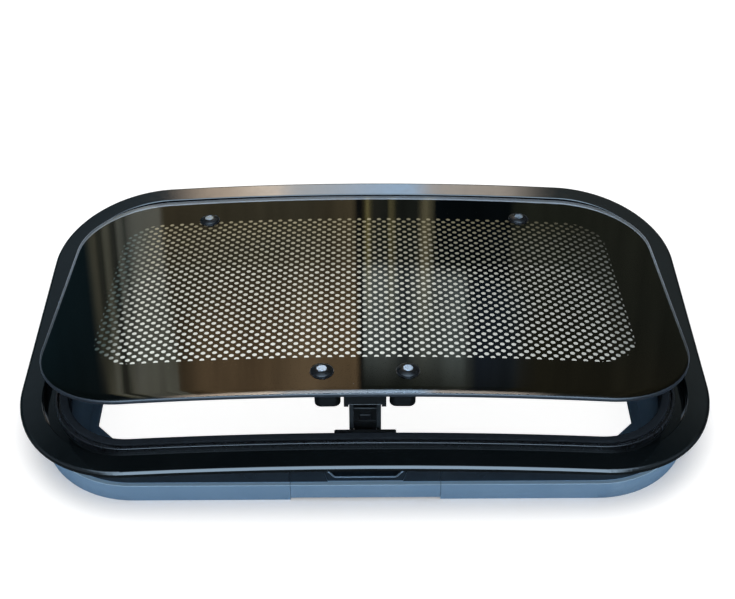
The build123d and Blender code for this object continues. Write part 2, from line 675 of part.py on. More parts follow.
with BuildPart() as rear_trim_cover:
    with BuildSketch(Plane.YZ):
        with Locations((NEAR_EDGE, 0)):
            with Locations((SKIRT_INSET, TRIM_FLOOR)):
                Rectangle(
                    COVER_FLOOR_REACH - SKIRT_INSET,
                    LEDGE_THICKNESS,
                    align=(Align.MIN, Align.MIN),
                )
                Rectangle(SKIRT_WALL, SKIRT_HEIGHT - TRIM_FLOOR, align=(Align.MIN, Align.MIN))
            with Locations((SKIRT_INSET, SKIRT_HEIGHT - LEDGE_THICKNESS)):
                Rectangle(
                    UPPER_WALL_INSET + UPPER_WALL - SKIRT_INSET,
                    LEDGE_THICKNESS,
                    align=(Align.MIN, Align.MIN),
                )
            with Locations((UPPER_WALL_INSET, SKIRT_HEIGHT - LEDGE_THICKNESS)):
                Rectangle(UPPER_WALL, FRAME_HEIGHT, align=(Align.MIN, Align.MIN))
    extrude(amount=COVER_LENGTH / 2, both=True)
    add(crown_slab(UPPER_WALL_DEPTH, CUT_THROUGH), mode=Mode.INTERSECT)
    ledge_edges = rear_trim_cover.edges().filter_by_position(Axis.Z, SKIRT_HEIGHT, SKIRT_HEIGHT)
    fillet(ledge_edges.filter_by(Axis.X).sort_by(Axis.Y)[0], TRIM_EDGE_ROUND)
    with BuildSketch(outward_plane(UPPER_WALL_INSET + POCKET_DEPTH + POCKET_WALL)):
        pocket_outline(
            POCKET_BOTTOM - POCKET_WALL,
            POCKET_TOP + POCKET_WALL,
            POCKET_BOTTOM_WIDTH + 2 * POCKET_WALL,
            POCKET_TOP_WIDTH + 2 * POCKET_WALL,
        )
    extrude(amount=POCKET_DEPTH)
    with BuildSketch(outward_plane(UPPER_WALL_INSET + POCKET_DEPTH)) as pocket:
        pocket_outline(POCKET_BOTTOM, POCKET_TOP, POCKET_BOTTOM_WIDTH, POCKET_TOP_WIDTH)
        fillet(pocket.vertices().group_by(Axis.Y)[0], POCKET_CORNER)
    extrude(amount=POCKET_DEPTH * 2, mode=Mode.SUBTRACT)
    with BuildSketch(outward_plane(UPPER_WALL_INSET + RELIEF_DEPTH)):
        pocket_outline(SKIRT_HEIGHT, RELIEF_TOP, RELIEF_BOTTOM_WIDTH, RELIEF_TOP_WIDTH)
    extrude(amount=RELIEF_DEPTH, mode=Mode.SUBTRACT)
    with BuildSketch(Plane.XY.offset(TRIM_FLOOR)):
        with Locations(*COVER_SCREW_POINTS):
            Circle(COVER_SCREW_HEAD / 2)
    extrude(amount=LEDGE_THICKNESS + COVER_BOSS_HEIGHT)
    with BuildSketch(Plane.XY.offset(TRIM_FLOOR)):
        with Locations(*COVER_SCREW_POINTS):
            Circle(COVER_SCREW_DIAMETER / 2 + SCREW_PLAY)
    extrude(amount=LEDGE_THICKNESS + COVER_BOSS_HEIGHT - COVER_BOSS_CAP, mode=Mode.SUBTRACT)
save(rear_trim_cover.part, "rear_trim_cover")

# Screws that draw the trim ring up to the frame, and the two of the cover
def upright_screws(points, bottom, head_diameter, head_height, diameter, tip):
    """Group of equal screws with the head at the bottom."""
    with BuildPart() as screws:
        with BuildSketch(Plane.XY.offset(bottom)):
            with Locations(*points):
                Circle(head_diameter / 2)
        extrude(amount=head_height)
        with BuildSketch(Plane.XY.offset(bottom)):
            with Locations(*points):
                Circle(diameter / 2)
        extrude(amount=tip - bottom)
        with BuildSketch(Plane.XY.offset(bottom)):
            with Locations(*points):
                Rectangle(head_diameter * CROSS_REACH, head_diameter * CROSS_WIDTH)
                Rectangle(head_diameter * CROSS_WIDTH, head_diameter * CROSS_REACH)
        extrude(amount=head_height * CROSS_DEPTH, mode=Mode.SUBTRACT)
    return screws.part


clamp_screws = upright_screws(
    CLAMP_POINTS,
    CLAMP_SCREW_SEAT - CLAMP_SCREW_HEAD_HEIGHT,
    CLAMP_SCREW_HEAD,
    CLAMP_SCREW_HEAD_HEIGHT,
    CLAMP_SCREW_DIAMETER,
    CLAMP_SCREW_TIP,
)
save(clamp_screws, "clamp_screws")
trim_cover_screws = upright_screws(
    COVER_SCREW_POINTS,
    SCREW_PLAY,
    COVER_SCREW_HEAD,
    COVER_SCREW_HEAD_HEIGHT,
    COVER_SCREW_DIAMETER,
    COVER_TOP + COVER_BOSS_HEIGHT - 2 * COVER_BOSS_CAP,
)
save(trim_cover_screws, "trim_cover_screws")

# Crowned glass pane with four stud holes
STUD_PLACES = [(side * REAR_STUD_X, REAR_STUD_Y) for side in SIDES.values()]
STUD_PLACES += [(side * FRONT_STUD_X, FRONT_STUD_Y) for side in SIDES.values()]
with BuildPart() as glass_panel:
    with BuildSketch():
        RectangleRounded(GLASS_LENGTH, GLASS_WIDTH, GLASS_CORNER)
    extrude(amount=CUT_THROUGH)
    add(crown_slab(0, GLASS_THICKNESS), mode=Mode.INTERSECT)
    crown_faces = glass_panel.faces().sort_by(SortBy.AREA)[-2:]
    fillet(crown_faces.edges(), GLASS_EDGE_ROUND)
    for x, y in STUD_PLACES:
        with BuildSketch(glass_plane(x, y).offset(GLASS_THICKNESS)):
            Circle(GLASS_HOLE_DIAMETER / 2)
        extrude(amount=-GLASS_THICKNESS * 3, mode=Mode.SUBTRACT)
save(opened(glass_panel.part), "glass_panel")

# Domed caps over thin rubber rings, with the flat heads of the studs in their middles
CAP_DOME = ((CAP_DIAMETER / 2) ** 2 + (CAP_HEIGHT - CAP_RIM) ** 2) / (2 * (CAP_HEIGHT - CAP_RIM))
CAP_FLAT_RADIUS = STUD_HEAD_DIAMETER / 2 + CAP_FLAT_MARGIN
CAP_SEAT = SEAT_GAP + CAP_GASKET_THICKNESS


def dome_height(radius):
    """Height of the cap's dome above its seat, at a distance from its middle."""
    return CAP_HEIGHT - CAP_DOME + math.sqrt(CAP_DOME**2 - radius**2)


def turned(profile_plane, points, dome_from, dome_to):
    """Round part turned about a plane's upright axis, with one domed stretch in its outline."""
    upright = Plane(
        origin=profile_plane.origin, x_dir=profile_plane.x_dir, z_dir=-profile_plane.y_dir
    )
    middle = (dome_from + dome_to) / 2
    with BuildPart() as body:
        with BuildSketch(upright):
            with BuildLine():
                Polyline(*points)
                ThreePointArc(
                    (dome_from, dome_height(dome_from)),
                    (middle, dome_height(middle)),
                    (dome_to, dome_height(dome_to)),
                )
            make_face()
        revolve(axis=Axis(profile_plane.origin, profile_plane.z_dir))
    return body.part


HEAD_SEAT = dome_height(CAP_FLAT_RADIUS) - STUD_HEAD_THICKNESS
STUD_RADIUS = STUD_DIAMETER / 2

with BuildPart() as cap_gaskets:
    for x, y in STUD_PLACES:
        with BuildSketch(glass_plane(x, y).offset(SEAT_GAP)):
            Circle(CAP_GASKET_DIAMETER / 2)
            Circle(STUD_RADIUS + PIN_PLAY, mode=Mode.SUBTRACT)
        extrude(amount=CAP_GASKET_THICKNESS)
save(opened(cap_gaskets.part), "cap_gaskets")

cap_outline = [
    (CAP_FLAT_RADIUS, dome_height(CAP_FLAT_RADIUS)),
    (STUD_HEAD_DIAMETER / 2 + PIN_PLAY, dome_height(CAP_FLAT_RADIUS)),
    (STUD_HEAD_DIAMETER / 2 + PIN_PLAY, HEAD_SEAT),
    (STUD_RADIUS + PIN_PLAY, HEAD_SEAT),
    (STUD_RADIUS + PIN_PLAY, 0),
    (CAP_DIAMETER / 2, 0),
    (CAP_DIAMETER / 2, CAP_RIM),
]
caps = [
    turned(glass_plane(x, y).offset(CAP_SEAT), cap_outline, CAP_DIAMETER / 2, CAP_FLAT_RADIUS)
    for x, y in STUD_PLACES
]
with BuildPart() as washer_caps:
    for cap in caps:
        add(cap)
save(opened(washer_caps.part), "washer_caps")

# Studs through the glass: the rear pair takes nuts below the arms, the front pair the knobs
REAR_GRIP = GLASS_THICKNESS + PAD_THICKNESS + ARM_THICKNESS + 3 * SEAT_GAP
FRONT_GRIP = GLASS_THICKNESS + BRACKET_PAD_THICKNESS + BRACKET_PLATE + KNOB_SEAT_GAP
STUD_DEPTHS = {
    REAR_STUD_X: REAR_GRIP + NUT_HEIGHT + STUD_TAIL,
    FRONT_STUD_X: FRONT_GRIP + KNOB_BORE_DEPTH - STUD_END_ROOM,
}
with BuildPart() as glass_studs:
    for x, y in STUD_PLACES:
        head_plane = glass_plane(x, y).offset(CAP_SEAT + HEAD_SEAT + SEAT_GAP)
        with BuildSketch(head_plane):
            Circle(STUD_HEAD_DIAMETER / 2)
        extrude(amount=STUD_HEAD_THICKNESS)
        with BuildSketch(head_plane):
            Circle(STUD_RADIUS)
        extrude(amount=-(CAP_SEAT + HEAD_SEAT + STUD_DEPTHS[abs(x)]))
save(opened(glass_studs.part), "glass_studs")

with BuildPart() as hinge_nuts:
    for side in SIDES.values():
        with BuildSketch(glass_plane(side * REAR_STUD_X, REAR_STUD_Y).offset(-REAR_GRIP)):
            RegularPolygon(NUT_FLATS / 2, 6, major_radius=False)
            Circle(STUD_RADIUS + PIN_PLAY, mode=Mode.SUBTRACT)
        extrude(amount=-NUT_HEIGHT)
save(opened(hinge_nuts.part), "hinge_nuts")

# Goose-neck hinge arms: a plate under the glass, a leg down inside the seal and a knuckle
LEG_FACE = FAR_EDGE - ARM_LEG_INSET
PIN_RADIUS = HINGE_PIN_DIAMETER / 2
ARM_PLATE_DEPTH = GLASS_THICKNESS + PAD_THICKNESS + 2 * SEAT_GAP
for name, side in SIDES.items():
    arm_x = side * REAR_STUD_X
    stud_plane = glass_plane(arm_x, REAR_STUD_Y)
    leg_slab = crown_slab(ARM_PLATE_DEPTH + ARM_THICKNESS / 2, CUT_THROUGH)
    with BuildPart() as hinge_arm:
        with BuildSketch(Plane.YZ.offset(arm_x)) as side_view:
            with Locations((LEG_FACE, ARM_FOOT_BOTTOM)):
                Rectangle(ARM_THICKNESS, FRAME_HEIGHT, align=(Align.MAX, Align.MIN))
            with Locations((LEG_FACE - ARM_THICKNESS, ARM_FOOT_BOTTOM)):
                Rectangle(
                    HINGE_Y - LEG_FACE + ARM_THICKNESS, ARM_THICKNESS, align=(Align.MIN, Align.MIN)
                )
            fillet(side_view.vertices().group_by(Axis.Y)[0].sort_by(Axis.X)[0], ARM_BEND)
            with Locations((HINGE_Y, HINGE_HEIGHT)):
                Circle(KNUCKLE_RADIUS)
        extrude(amount=ARM_WIDTH / 2, both=True)
        add(leg_slab, mode=Mode.INTERSECT)
        with BuildSketch(stud_plane.offset(-ARM_PLATE_DEPTH)) as plate:
            with Locations((0, (ARM_PLATE_REAR - ARM_PLATE_FRONT) / 2)):
                Rectangle(ARM_WIDTH, ARM_PLATE_REAR + ARM_PLATE_FRONT)
            fillet(plate.vertices().group_by(Axis.Y)[0], ARM_BEND)
        extrude(amount=-ARM_THICKNESS)
        with BuildSketch(stud_plane):
            Circle(STUD_RADIUS + PIN_PLAY)
        extrude(amount=-ARM_PLATE_DEPTH - ARM_THICKNESS * 2, mode=Mode.SUBTRACT)
        with BuildSketch(Plane.YZ.offset(arm_x)):
            with Locations((HINGE_Y, HINGE_HEIGHT)):
                Circle(PIN_RADIUS + PIN_PLAY)
        extrude(amount=ARM_WIDTH, both=True, mode=Mode.SUBTRACT)
    save(opened(hinge_arm.part), "hinge_arm_" + name)

    with BuildPart() as hinge_pad:
        with BuildSketch(stud_plane.offset(-GLASS_THICKNESS - SEAT_GAP)):
            with Locations((0, PAD_LENGTH / 2 - ARM_PLATE_FRONT)):
                Rectangle(ARM_WIDTH, PAD_LENGTH)
            Circle(STUD_RADIUS + PIN_PLAY, mode=Mode.SUBTRACT)
        extrude(amount=-PAD_THICKNESS)
    save(opened(hinge_pad.part), "hinge_pad_" + name)

# Hinge bases: crowned plates under the pan with two ears each, their pins and their screws
for name, side in SIDES.items():
    arm_x = side * REAR_STUD_X
    base_plate = crowned_block(
        HINGE_BASE_LENGTH,
        HINGE_BASE_OUTER_INSET,
        HINGE_BASE_INNER_INSET,
        PAN_UNDERSIDE,
        HINGE_PLATE_DEPTH,
        arm_x,
    )
    ear_slab = crown_slab(PAN_UNDERSIDE + HINGE_BASE_THICKNESS / 2, CUT_THROUGH)
    with BuildPart() as hinge_base:
        for ear_side in SIDES.values():
            ear_middle = arm_x + ear_side * (ARM_WIDTH / 2 + HINGE_EAR_GAP + HINGE_EAR_WALL / 2)
            with BuildSketch(Plane.YZ.offset(ear_middle)):
                with Locations((HINGE_Y, HINGE_HEIGHT)):
                    Circle(HINGE_EAR_RADIUS)
                    Rectangle(
                        HINGE_EAR_RADIUS * 2, FRAME_HEIGHT, align=(Align.CENTER, Align.MIN)
                    )
            extrude(amount=HINGE_EAR_WALL / 2, both=True)
        add(ear_slab, mode=Mode.INTERSECT)
        add(base_plate)
        with BuildSketch(Plane.YZ.offset(arm_x)):
            with Locations((HINGE_Y, HINGE_HEIGHT)):
                Circle(PIN_RADIUS + PIN_PLAY)
        extrude(amount=ARM_WIDTH, both=True, mode=Mode.SUBTRACT)
        with BuildSketch(Plane.XY.offset(HINGE_HEIGHT)):
            with Locations(*HINGE_SCREW_POINTS):
                Circle(HINGE_SCREW_DIAMETER / 2 + SCREW_PLAY)
        extrude(amount=FRAME_HEIGHT, mode=Mode.SUBTRACT)
    save(hinge_base.part, "hinge_base_" + name)

    with BuildPart() as hinge_pin:
        with BuildSketch(Plane.YZ.offset(arm_x)):
            with Locations((HINGE_Y, HINGE_HEIGHT)):
                Circle(PIN_RADIUS)
        extrude(
            amount=ARM_WIDTH / 2 + HINGE_EAR_GAP + HINGE_EAR_WALL + PIN_PROUD, both=True
        )
    save(hinge_pin.part, "hinge_pin_" + name)

with BuildPart() as hinge_base_screws:
    for x, y in HINGE_SCREW_POINTS:
        seat = hinge_screw_seat(x)
        with BuildSketch(Plane.XY.offset(seat)):
            with Locations((x, y)):
                Circle(HINGE_SCREW_HEAD / 2)
        extrude(amount=-HINGE_SCREW_HEAD_HEIGHT)
        with BuildSketch(Plane.XY.offset(seat)):
            with Locations((x, y)):
                Circle(HINGE_SCREW_DIAMETER / 2)
        extrude(amount=HINGE_SCREW_LENGTH)
save(hinge_base_screws.part, "hinge_base_screws")

# Toggle latch geometry, with the glass open: the link and lever stand in line, just over centre
PIVOT_Y = NEAR_EDGE + LATCH_PIVOT_INSET
LINK_PIN_Y, LINK_PIN_Z = opened_point(NEAR_EDGE + LINK_PIN_INSET, LINK_PIN_HEIGHT)
SPAN_Y = LINK_PIN_Y - PIVOT_Y
SPAN_Z = LINK_PIN_Z - LATCH_PIVOT_HEIGHT
SPAN = math.hypot(SPAN_Y, SPAN_Z)
TOGGLE_ARM = math.hypot(SPAN / 2, KNEE_OVER_CENTRE)
KNEE_Y = PIVOT_Y + SPAN_Y / 2 - KNEE_OVER_CENTRE * SPAN_Z / SPAN
KNEE_Z = LATCH_PIVOT_HEIGHT + SPAN_Z / 2 + KNEE_OVER_CENTRE * SPAN_Y / SPAN
LEVER_REACH = KNEE_Z - LATCH_PIVOT_HEIGHT + LEVER_PAST_KNEE
BUTTON_MIDDLE = KNEE_Z + BUTTON_ABOVE_KNEE + BUTTON_LENGTH / 2
LATCH_PIN_RADIUS = LATCH_PIN_DIAMETER / 2
CHEEK_INNER = LEVER_WIDTH / 2 + CHEEK_GAP
CHEEK_OUTER = CHEEK_INNER + CHEEK_WALL
BRACKET_EAR_INNER = CHEEK_OUTER + BRACKET_EAR_GAP
BRACKET_EAR_OUTER = BRACKET_EAR_INNER + BRACKET_EAR_WALL
BASE_EAR_INNER = LEVER_WIDTH / 2 + BASE_EAR_GAP


def cross_pin(y, z, half_length):
    """Round pin along X."""
    with BuildPart() as pin:
        with BuildSketch(Plane.YZ):
            with Locations((y, z)):
                Circle(LATCH_PIN_RADIUS)
        extrude(amount=half_length, both=True)
    return pin.part


# Bracket under the glass: a plate over both front studs, a front face and two pointed ears
BRACKET_PLATE_TOP = FRAME_HEIGHT - GLASS_THICKNESS - BRACKET_PAD_THICKNESS
BRACKET_PLATE_BOTTOM = BRACKET_PLATE_TOP - BRACKET_PLATE
BRACKET_WIDTH = BRACKET_INNER_INSET - BRACKET_OUTER_INSET
BRACKET_MIDDLE = NEAR_EDGE + (BRACKET_INNER_INSET + BRACKET_OUTER_INSET) / 2
FACE_HALF = BRACKET_EAR_INNER + BRACKET_FACE_WALL / 2
with BuildPart() as latch_bracket:
    with BuildSketch(Plane.XY.offset(BRACKET_PLATE_BOTTOM)):
        with Locations((0, BRACKET_MIDDLE)):
            RectangleRounded(BRACKET_LENGTH, BRACKET_WIDTH, BRACKET_CORNER)
    extrude(amount=BRACKET_PLATE)
    with BuildSketch(Plane.YZ.offset(BRACKET_EAR_INNER)):
        Polygon(
            (NEAR_EDGE + BRACKET_OUTER_INSET, BRACKET_PLATE_TOP),
            (NEAR_EDGE + BRACKET_OUTER_INSET, BRACKET_FACE_BOTTOM - BRACKET_EAR_DROP),
            (NEAR_EDGE + BRACKET_EAR_TIP_INSET, BRACKET_EAR_TIP),
            (NEAR_EDGE + BRACKET_EAR_BACK_INSET, BRACKET_EAR_BACK),
            (NEAR_EDGE + BRACKET_EAR_BACK_INSET, BRACKET_PLATE_TOP),
            align=None,
        )
    extrude(amount=BRACKET_EAR_WALL)
    mirror(about=Plane.YZ)
    with BuildSketch(Plane.XY.offset(BRACKET_FACE_BOTTOM)):
        with Locations((0, NEAR_EDGE + BRACKET_OUTER_INSET + BRACKET_FACE_WALL / 2)):
            Rectangle(FACE_HALF * 2, BRACKET_FACE_WALL)
    extrude(amount=BRACKET_PLATE_TOP - BRACKET_FACE_BOTTOM)
    with BuildSketch(Plane.YZ):
        with Locations((NEAR_EDGE + LINK_PIN_INSET, LINK_PIN_HEIGHT)):
            Circle(LATCH_PIN_RADIUS + PIN_PLAY)
    extrude(amount=BRACKET_EAR_OUTER * 2, both=True, mode=Mode.SUBTRACT)
    for side in SIDES.values():
        with BuildSketch(glass_plane(side * FRONT_STUD_X, FRONT_STUD_Y)):
            Circle(STUD_RADIUS + SCREW_PLAY)
        extrude(amount=-GLASS_THICKNESS * 3, mode=Mode.SUBTRACT)
save(opened(latch_bracket.part), "latch_bracket")

with BuildPart() as bracket_pad:
    with BuildSketch(Plane.XY.offset(BRACKET_PLATE_TOP)):
        with Locations((0, BRACKET_MIDDLE)):
            RectangleRounded(BRACKET_LENGTH, BRACKET_WIDTH, BRACKET_CORNER)
    extrude(amount=BRACKET_PAD_THICKNESS * 2)
    add(crown_slab(GLASS_THICKNESS + SEAT_GAP, CUT_THROUGH), mode=Mode.INTERSECT)
    for side in SIDES.values():
        with BuildSketch(glass_plane(side * FRONT_STUD_X, FRONT_STUD_Y)):
            Circle(STUD_RADIUS + SCREW_PLAY)
        extrude(amount=-GLASS_THICKNESS * 3, mode=Mode.SUBTRACT)
save(opened(bracket_pad.part), "bracket_pad")

# Knobs: long rounded grips, threaded near one end on the front studs, against the bracket
for name, side in SIDES.items():
    knob_plane = glass_plane(side * FRONT_STUD_X, FRONT_STUD_Y).offset(-FRONT_GRIP)
    with BuildPart() as knob:
        with BuildSketch(knob_plane.offset(-KNOB_NECK_HEIGHT)):
            with Locations((-side * KNOB_OFFSET, 0)):
                SlotOverall(KNOB_LENGTH, KNOB_WIDTH)
        extrude(amount=-KNOB_HEIGHT)
        fillet(knob.faces().sort_by(Axis.Z)[0].edges(), KNOB_END_ROUND)
        with BuildSketch(knob_plane):
            Circle(KNOB_NECK_DIAMETER / 2)
        extrude(amount=-KNOB_NECK_HEIGHT)
        with BuildSketch(knob_plane):
            Circle(STUD_RADIUS + PIN_PLAY)
        extrude(amount=-KNOB_BORE_DEPTH, mode=Mode.SUBTRACT)
    save(opened(knob.part), "knob_" + name)

link_pin = cross_pin(
    NEAR_EDGE + LINK_PIN_INSET, LINK_PIN_HEIGHT, BRACKET_EAR_OUTER + PIN_PROUD
)
save(opened(link_pin), "link_pin")

# Latch base: a plate on the cove with two ears that carry the lever
BASE_FACE = NEAR_EDGE + COVE_INSET + BASE_FIT
BASE_TOP = FRAME_HEIGHT - GLASS_THICKNESS - BASE_TOP_GAP
with BuildPart() as latch_base:
    with BuildSketch(Plane.XZ.offset(-BASE_FACE)):
        with Locations((0, (BASE_TOP + BASE_BOTTOM) / 2)):
            RectangleRounded(BASE_LENGTH, BASE_TOP - BASE_BOTTOM, BASE_CORNER)
    extrude(amount=-BASE_THICKNESS)
    with BuildSketch(Plane.YZ.offset(BASE_EAR_INNER)):
        with Locations((PIVOT_Y, LATCH_PIVOT_HEIGHT)):
            Circle(BASE_EAR_RADIUS)
        Polygon(
            (BASE_FACE + BASE_THICKNESS / 2, BASE_BOTTOM),
            (BASE_FACE + BASE_THICKNESS / 2, BASE_BOTTOM + BASE_EAR_RISE),
            (PIVOT_Y - BASE_EAR_RADIUS / 2, LATCH_PIVOT_HEIGHT + BASE_EAR_NECK),
            (PIVOT_Y, LATCH_PIVOT_HEIGHT - BASE_EAR_RADIUS),
            align=None,
        )
    extrude(amount=BASE_EAR_WALL)
    mirror(about=Plane.YZ)
    with BuildSketch(Plane.YZ):
        with Locations((PIVOT_Y, LATCH_PIVOT_HEIGHT)):
            Circle(LATCH_PIN_RADIUS + PIN_PLAY)
    extrude(amount=BASE_LENGTH, both=True, mode=Mode.SUBTRACT)
    with BuildSketch(Plane.XZ.offset(-BASE_FACE)):
        with Locations(*BASE_SCREW_POINTS):
            Circle(BASE_SCREW_DIAMETER / 2 + SCREW_PLAY)
    extrude(amount=-BASE_THICKNESS, mode=Mode.SUBTRACT)
save(latch_base.part, "latch_base")

with BuildPart() as latch_base_screws:
    with BuildSketch(Plane.XZ.offset(-BASE_FACE - BASE_THICKNESS)):
        with Locations(*BASE_SCREW_POINTS):
            Circle(BASE_SCREW_HEAD / 2)
    extrude(amount=-BASE_SCREW_HEAD_HEIGHT)
    with BuildSketch(Plane.XZ.offset(-BASE_FACE - BASE_THICKNESS)):
        with Locations(*BASE_SCREW_POINTS):
            Circle(BASE_SCREW_DIAMETER / 2)
    extrude(amount=COVE_INSET + BASE_FIT + BASE_THICKNESS - SPIGOT_OUTER_INSET)
save(latch_base_screws.part, "latch_base_screws")
base_pin = cross_pin(PIVOT_Y, LATCH_PIVOT_HEIGHT, BASE_EAR_INNER + BASE_EAR_WALL + PIN_PROUD)
save(base_pin, "base_pin")

# Lever: a flat handle from the base pin past the knee pin, with a sprung button in its face
LEVER_FACE = PIVOT_Y - LEVER_FRONT
BUTTON_FLOOR = BUTTON_THICKNESS - BUTTON_PROUD + BUTTON_TRAVEL + BUTTON_PLAY
with BuildPart() as latch_lever:
    with BuildSketch(Plane.YZ) as lever_view:
        with Locations((LEVER_FACE, LATCH_PIVOT_HEIGHT)):
            Rectangle(
                LEVER_FRONT + LEVER_BACK, LEVER_REACH, align=(Align.MIN, Align.MIN)
            )
        fillet(lever_view.vertices().group_by(Axis.Y)[-1], LEVER_ROUND)
        with Locations((PIVOT_Y, LATCH_PIVOT_HEIGHT)):
            Circle(LEVER_BOSS_RADIUS)
        with Locations((KNEE_Y, KNEE_Z)):
            Circle(LEVER_EYE_RADIUS)
        with Locations((PIVOT_Y, LATCH_PIVOT_HEIGHT), (KNEE_Y, KNEE_Z)):
            Circle(LATCH_PIN_RADIUS + PIN_PLAY, mode=Mode.SUBTRACT)
    extrude(amount=LEVER_WIDTH / 2, both=True)
    with BuildSketch(Plane.XZ.offset(-LEVER_FACE - BUTTON_FLOOR)):
        with Locations((0, BUTTON_MIDDLE)):
            Rectangle(BUTTON_WIDTH + 2 * BUTTON_PLAY, BUTTON_LENGTH + 2 * BUTTON_PLAY)
    extrude(amount=BUTTON_FLOOR * 2, mode=Mode.SUBTRACT)
save(latch_lever.part, "latch_lever")
save(cross_pin(KNEE_Y, KNEE_Z, LEVER_WIDTH / 2), "lever_pin")

with BuildPart() as release_button:
    with BuildSketch(Plane.XZ.offset(-LEVER_FACE + BUTTON_PROUD - BUTTON_THICKNESS)):
        with Locations((0, BUTTON_MIDDLE)):
            Rectangle(BUTTON_WIDTH, BUTTON_LENGTH)
    extrude(amount=BUTTON_THICKNESS)
    fillet(release_button.faces().sort_by(Axis.Y)[0].edges(), BUTTON_ROUND)
save(release_button.part, "release_button")

# Link: two cheeks that straddle the lever, joined by a hub on the link pin
LINK_ANGLE = math.degrees(math.atan2(LINK_PIN_Z - KNEE_Z, LINK_PIN_Y - KNEE_Y))
LINK_RISE_Y = (LINK_PIN_Y - KNEE_Y) / TOGGLE_ARM
LINK_RISE_Z = (LINK_PIN_Z - KNEE_Z) / TOGGLE_ARM
CHEEK_MIDDLE = (TOGGLE_ARM + CHEEK_TAIL) / 2
with BuildPart() as latch_link:
    with BuildSketch(Plane.YZ.offset(CHEEK_INNER)):
        cheek_centre = (
            LINK_PIN_Y - CHEEK_MIDDLE * LINK_RISE_Y,
            LINK_PIN_Z - CHEEK_MIDDLE * LINK_RISE_Z,
        )
        with Locations(cheek_centre):
            SlotCenterToCenter(CHEEK_MIDDLE * 2, LINK_HALF_WIDTH * 2, rotation=LINK_ANGLE)
    extrude(amount=CHEEK_WALL)
    mirror(about=Plane.YZ)
    with BuildSketch(Plane.YZ):
        with Locations((LINK_PIN_Y, LINK_PIN_Z)):
            Circle(LINK_HUB_RADIUS)
    extrude(amount=CHEEK_OUTER, both=True)
    with BuildSketch(Plane.YZ):
        with Locations((LINK_PIN_Y, LINK_PIN_Z), (KNEE_Y, KNEE_Z)):
            Circle(LATCH_PIN_RADIUS + PIN_PLAY)
    extrude(amount=CHEEK_OUTER * 2, both=True, mode=Mode.SUBTRACT)
save(latch_link.part, "latch_link")
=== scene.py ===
import math

import bpy
from mathutils import Matrix, Vector


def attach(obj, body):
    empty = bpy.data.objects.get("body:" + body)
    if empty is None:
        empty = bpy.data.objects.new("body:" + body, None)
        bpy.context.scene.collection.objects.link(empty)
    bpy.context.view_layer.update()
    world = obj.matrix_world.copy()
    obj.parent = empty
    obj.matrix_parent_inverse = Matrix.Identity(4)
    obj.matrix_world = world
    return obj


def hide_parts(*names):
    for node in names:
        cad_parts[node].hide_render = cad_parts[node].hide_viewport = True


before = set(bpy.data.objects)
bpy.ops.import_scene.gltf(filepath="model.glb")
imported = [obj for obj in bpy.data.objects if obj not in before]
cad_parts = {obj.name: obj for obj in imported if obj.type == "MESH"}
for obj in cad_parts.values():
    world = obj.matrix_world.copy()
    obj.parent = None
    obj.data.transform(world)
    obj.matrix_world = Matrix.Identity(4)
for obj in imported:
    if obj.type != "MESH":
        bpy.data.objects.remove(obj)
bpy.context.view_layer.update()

# Outer frame: one glossy black moulding that lies on the roof. Its wide flange ends in a rolled
# rim, and inside it a recess steps down to the pan, the seal's upstand and the spigot that goes
# through the roof. Moulded in one piece, so its surface has a faint orange peel and fine scuffs.
MM = 0.001
NOISE_HALF_SPREAD = 0.25
CLOUD_SIZE = 60.0
GLOSS_BLOTCH_SIZE = 9.0
GLOSS_DETAIL = 6.0
GRAIN_DETAIL = 3.0
WEAR_BLOTCH_SIZE = 4.0
WEAR_CONTRAST = 1.5
WEAR_START = 0.53
WEAR_END = 0.62
PALE_FACTOR = 2.2
PALE_LIFT = 0.03


def start_finish(name):
    """New node material with a Principled shader; returns the material, its tree and shader."""
    finish = bpy.data.materials.new(name)
    finish.use_nodes = True
    tree = finish.node_tree
    return finish, tree, tree.nodes["Principled BSDF"]


def feed(tree, value, socket):
    """Links a socket to another one, or sets it to a plain number or colour."""
    if hasattr(value, "links"):
        tree.links.new(value, socket)
    elif isinstance(value, tuple):
        socket.default_value = (*value, 1.0)
    else:
        socket.default_value = value


def arithmetic(tree, operation, first, second=0.0):
    """One arithmetic step among the nodes, on sockets or plain numbers."""
    node = tree.nodes.new("ShaderNodeMath")
    node.operation = operation
    feed(tree, first, node.inputs[0])
    feed(tree, second, node.inputs[1])
    return node.outputs[0]


def spread_value(tree, value, start, end, low=0.0, high=1.0):
    """Goes from low to high while a value goes from start to end, and stays level past both."""
    spread = tree.nodes.new("ShaderNodeMapRange")
    limits = (("From Min", start), ("From Max", end), ("To Min", low), ("To Max", high))
    for socket, limit in limits:
        spread.inputs[socket].default_value = limit
    tree.links.new(value, spread.inputs["Value"])
    return spread.outputs["Result"]


def mottle(tree, size_mm, low=0.0, high=1.0, detail=4.0, contrast=1.0):
    """Cloudy value between two limits, with blotches of a real size."""
    place = tree.nodes.new("ShaderNodeTexCoord")
    noise = tree.nodes.new("ShaderNodeTexNoise")
    noise.inputs["Scale"].default_value = 1.0 / (size_mm * MM)
    noise.inputs["Detail"].default_value = detail
    tree.links.new(place.outputs["Object"], noise.inputs["Vector"])
    reach = NOISE_HALF_SPREAD / contrast
    return spread_value(tree, noise.outputs["Fac"], 0.5 - reach, 0.5 + reach, low, high)


def blend_colours(tree, share, first, second):
    """Colour between two, by a share; each of the three may be a socket or a plain value."""
    mix = tree.nodes.new("ShaderNodeMix")
    mix.data_type = "RGBA"
    feed(tree, share, mix.inputs[0])
    feed(tree, first, mix.inputs[6])
    feed(tree, second, mix.inputs[7])
    return mix.outputs[2]


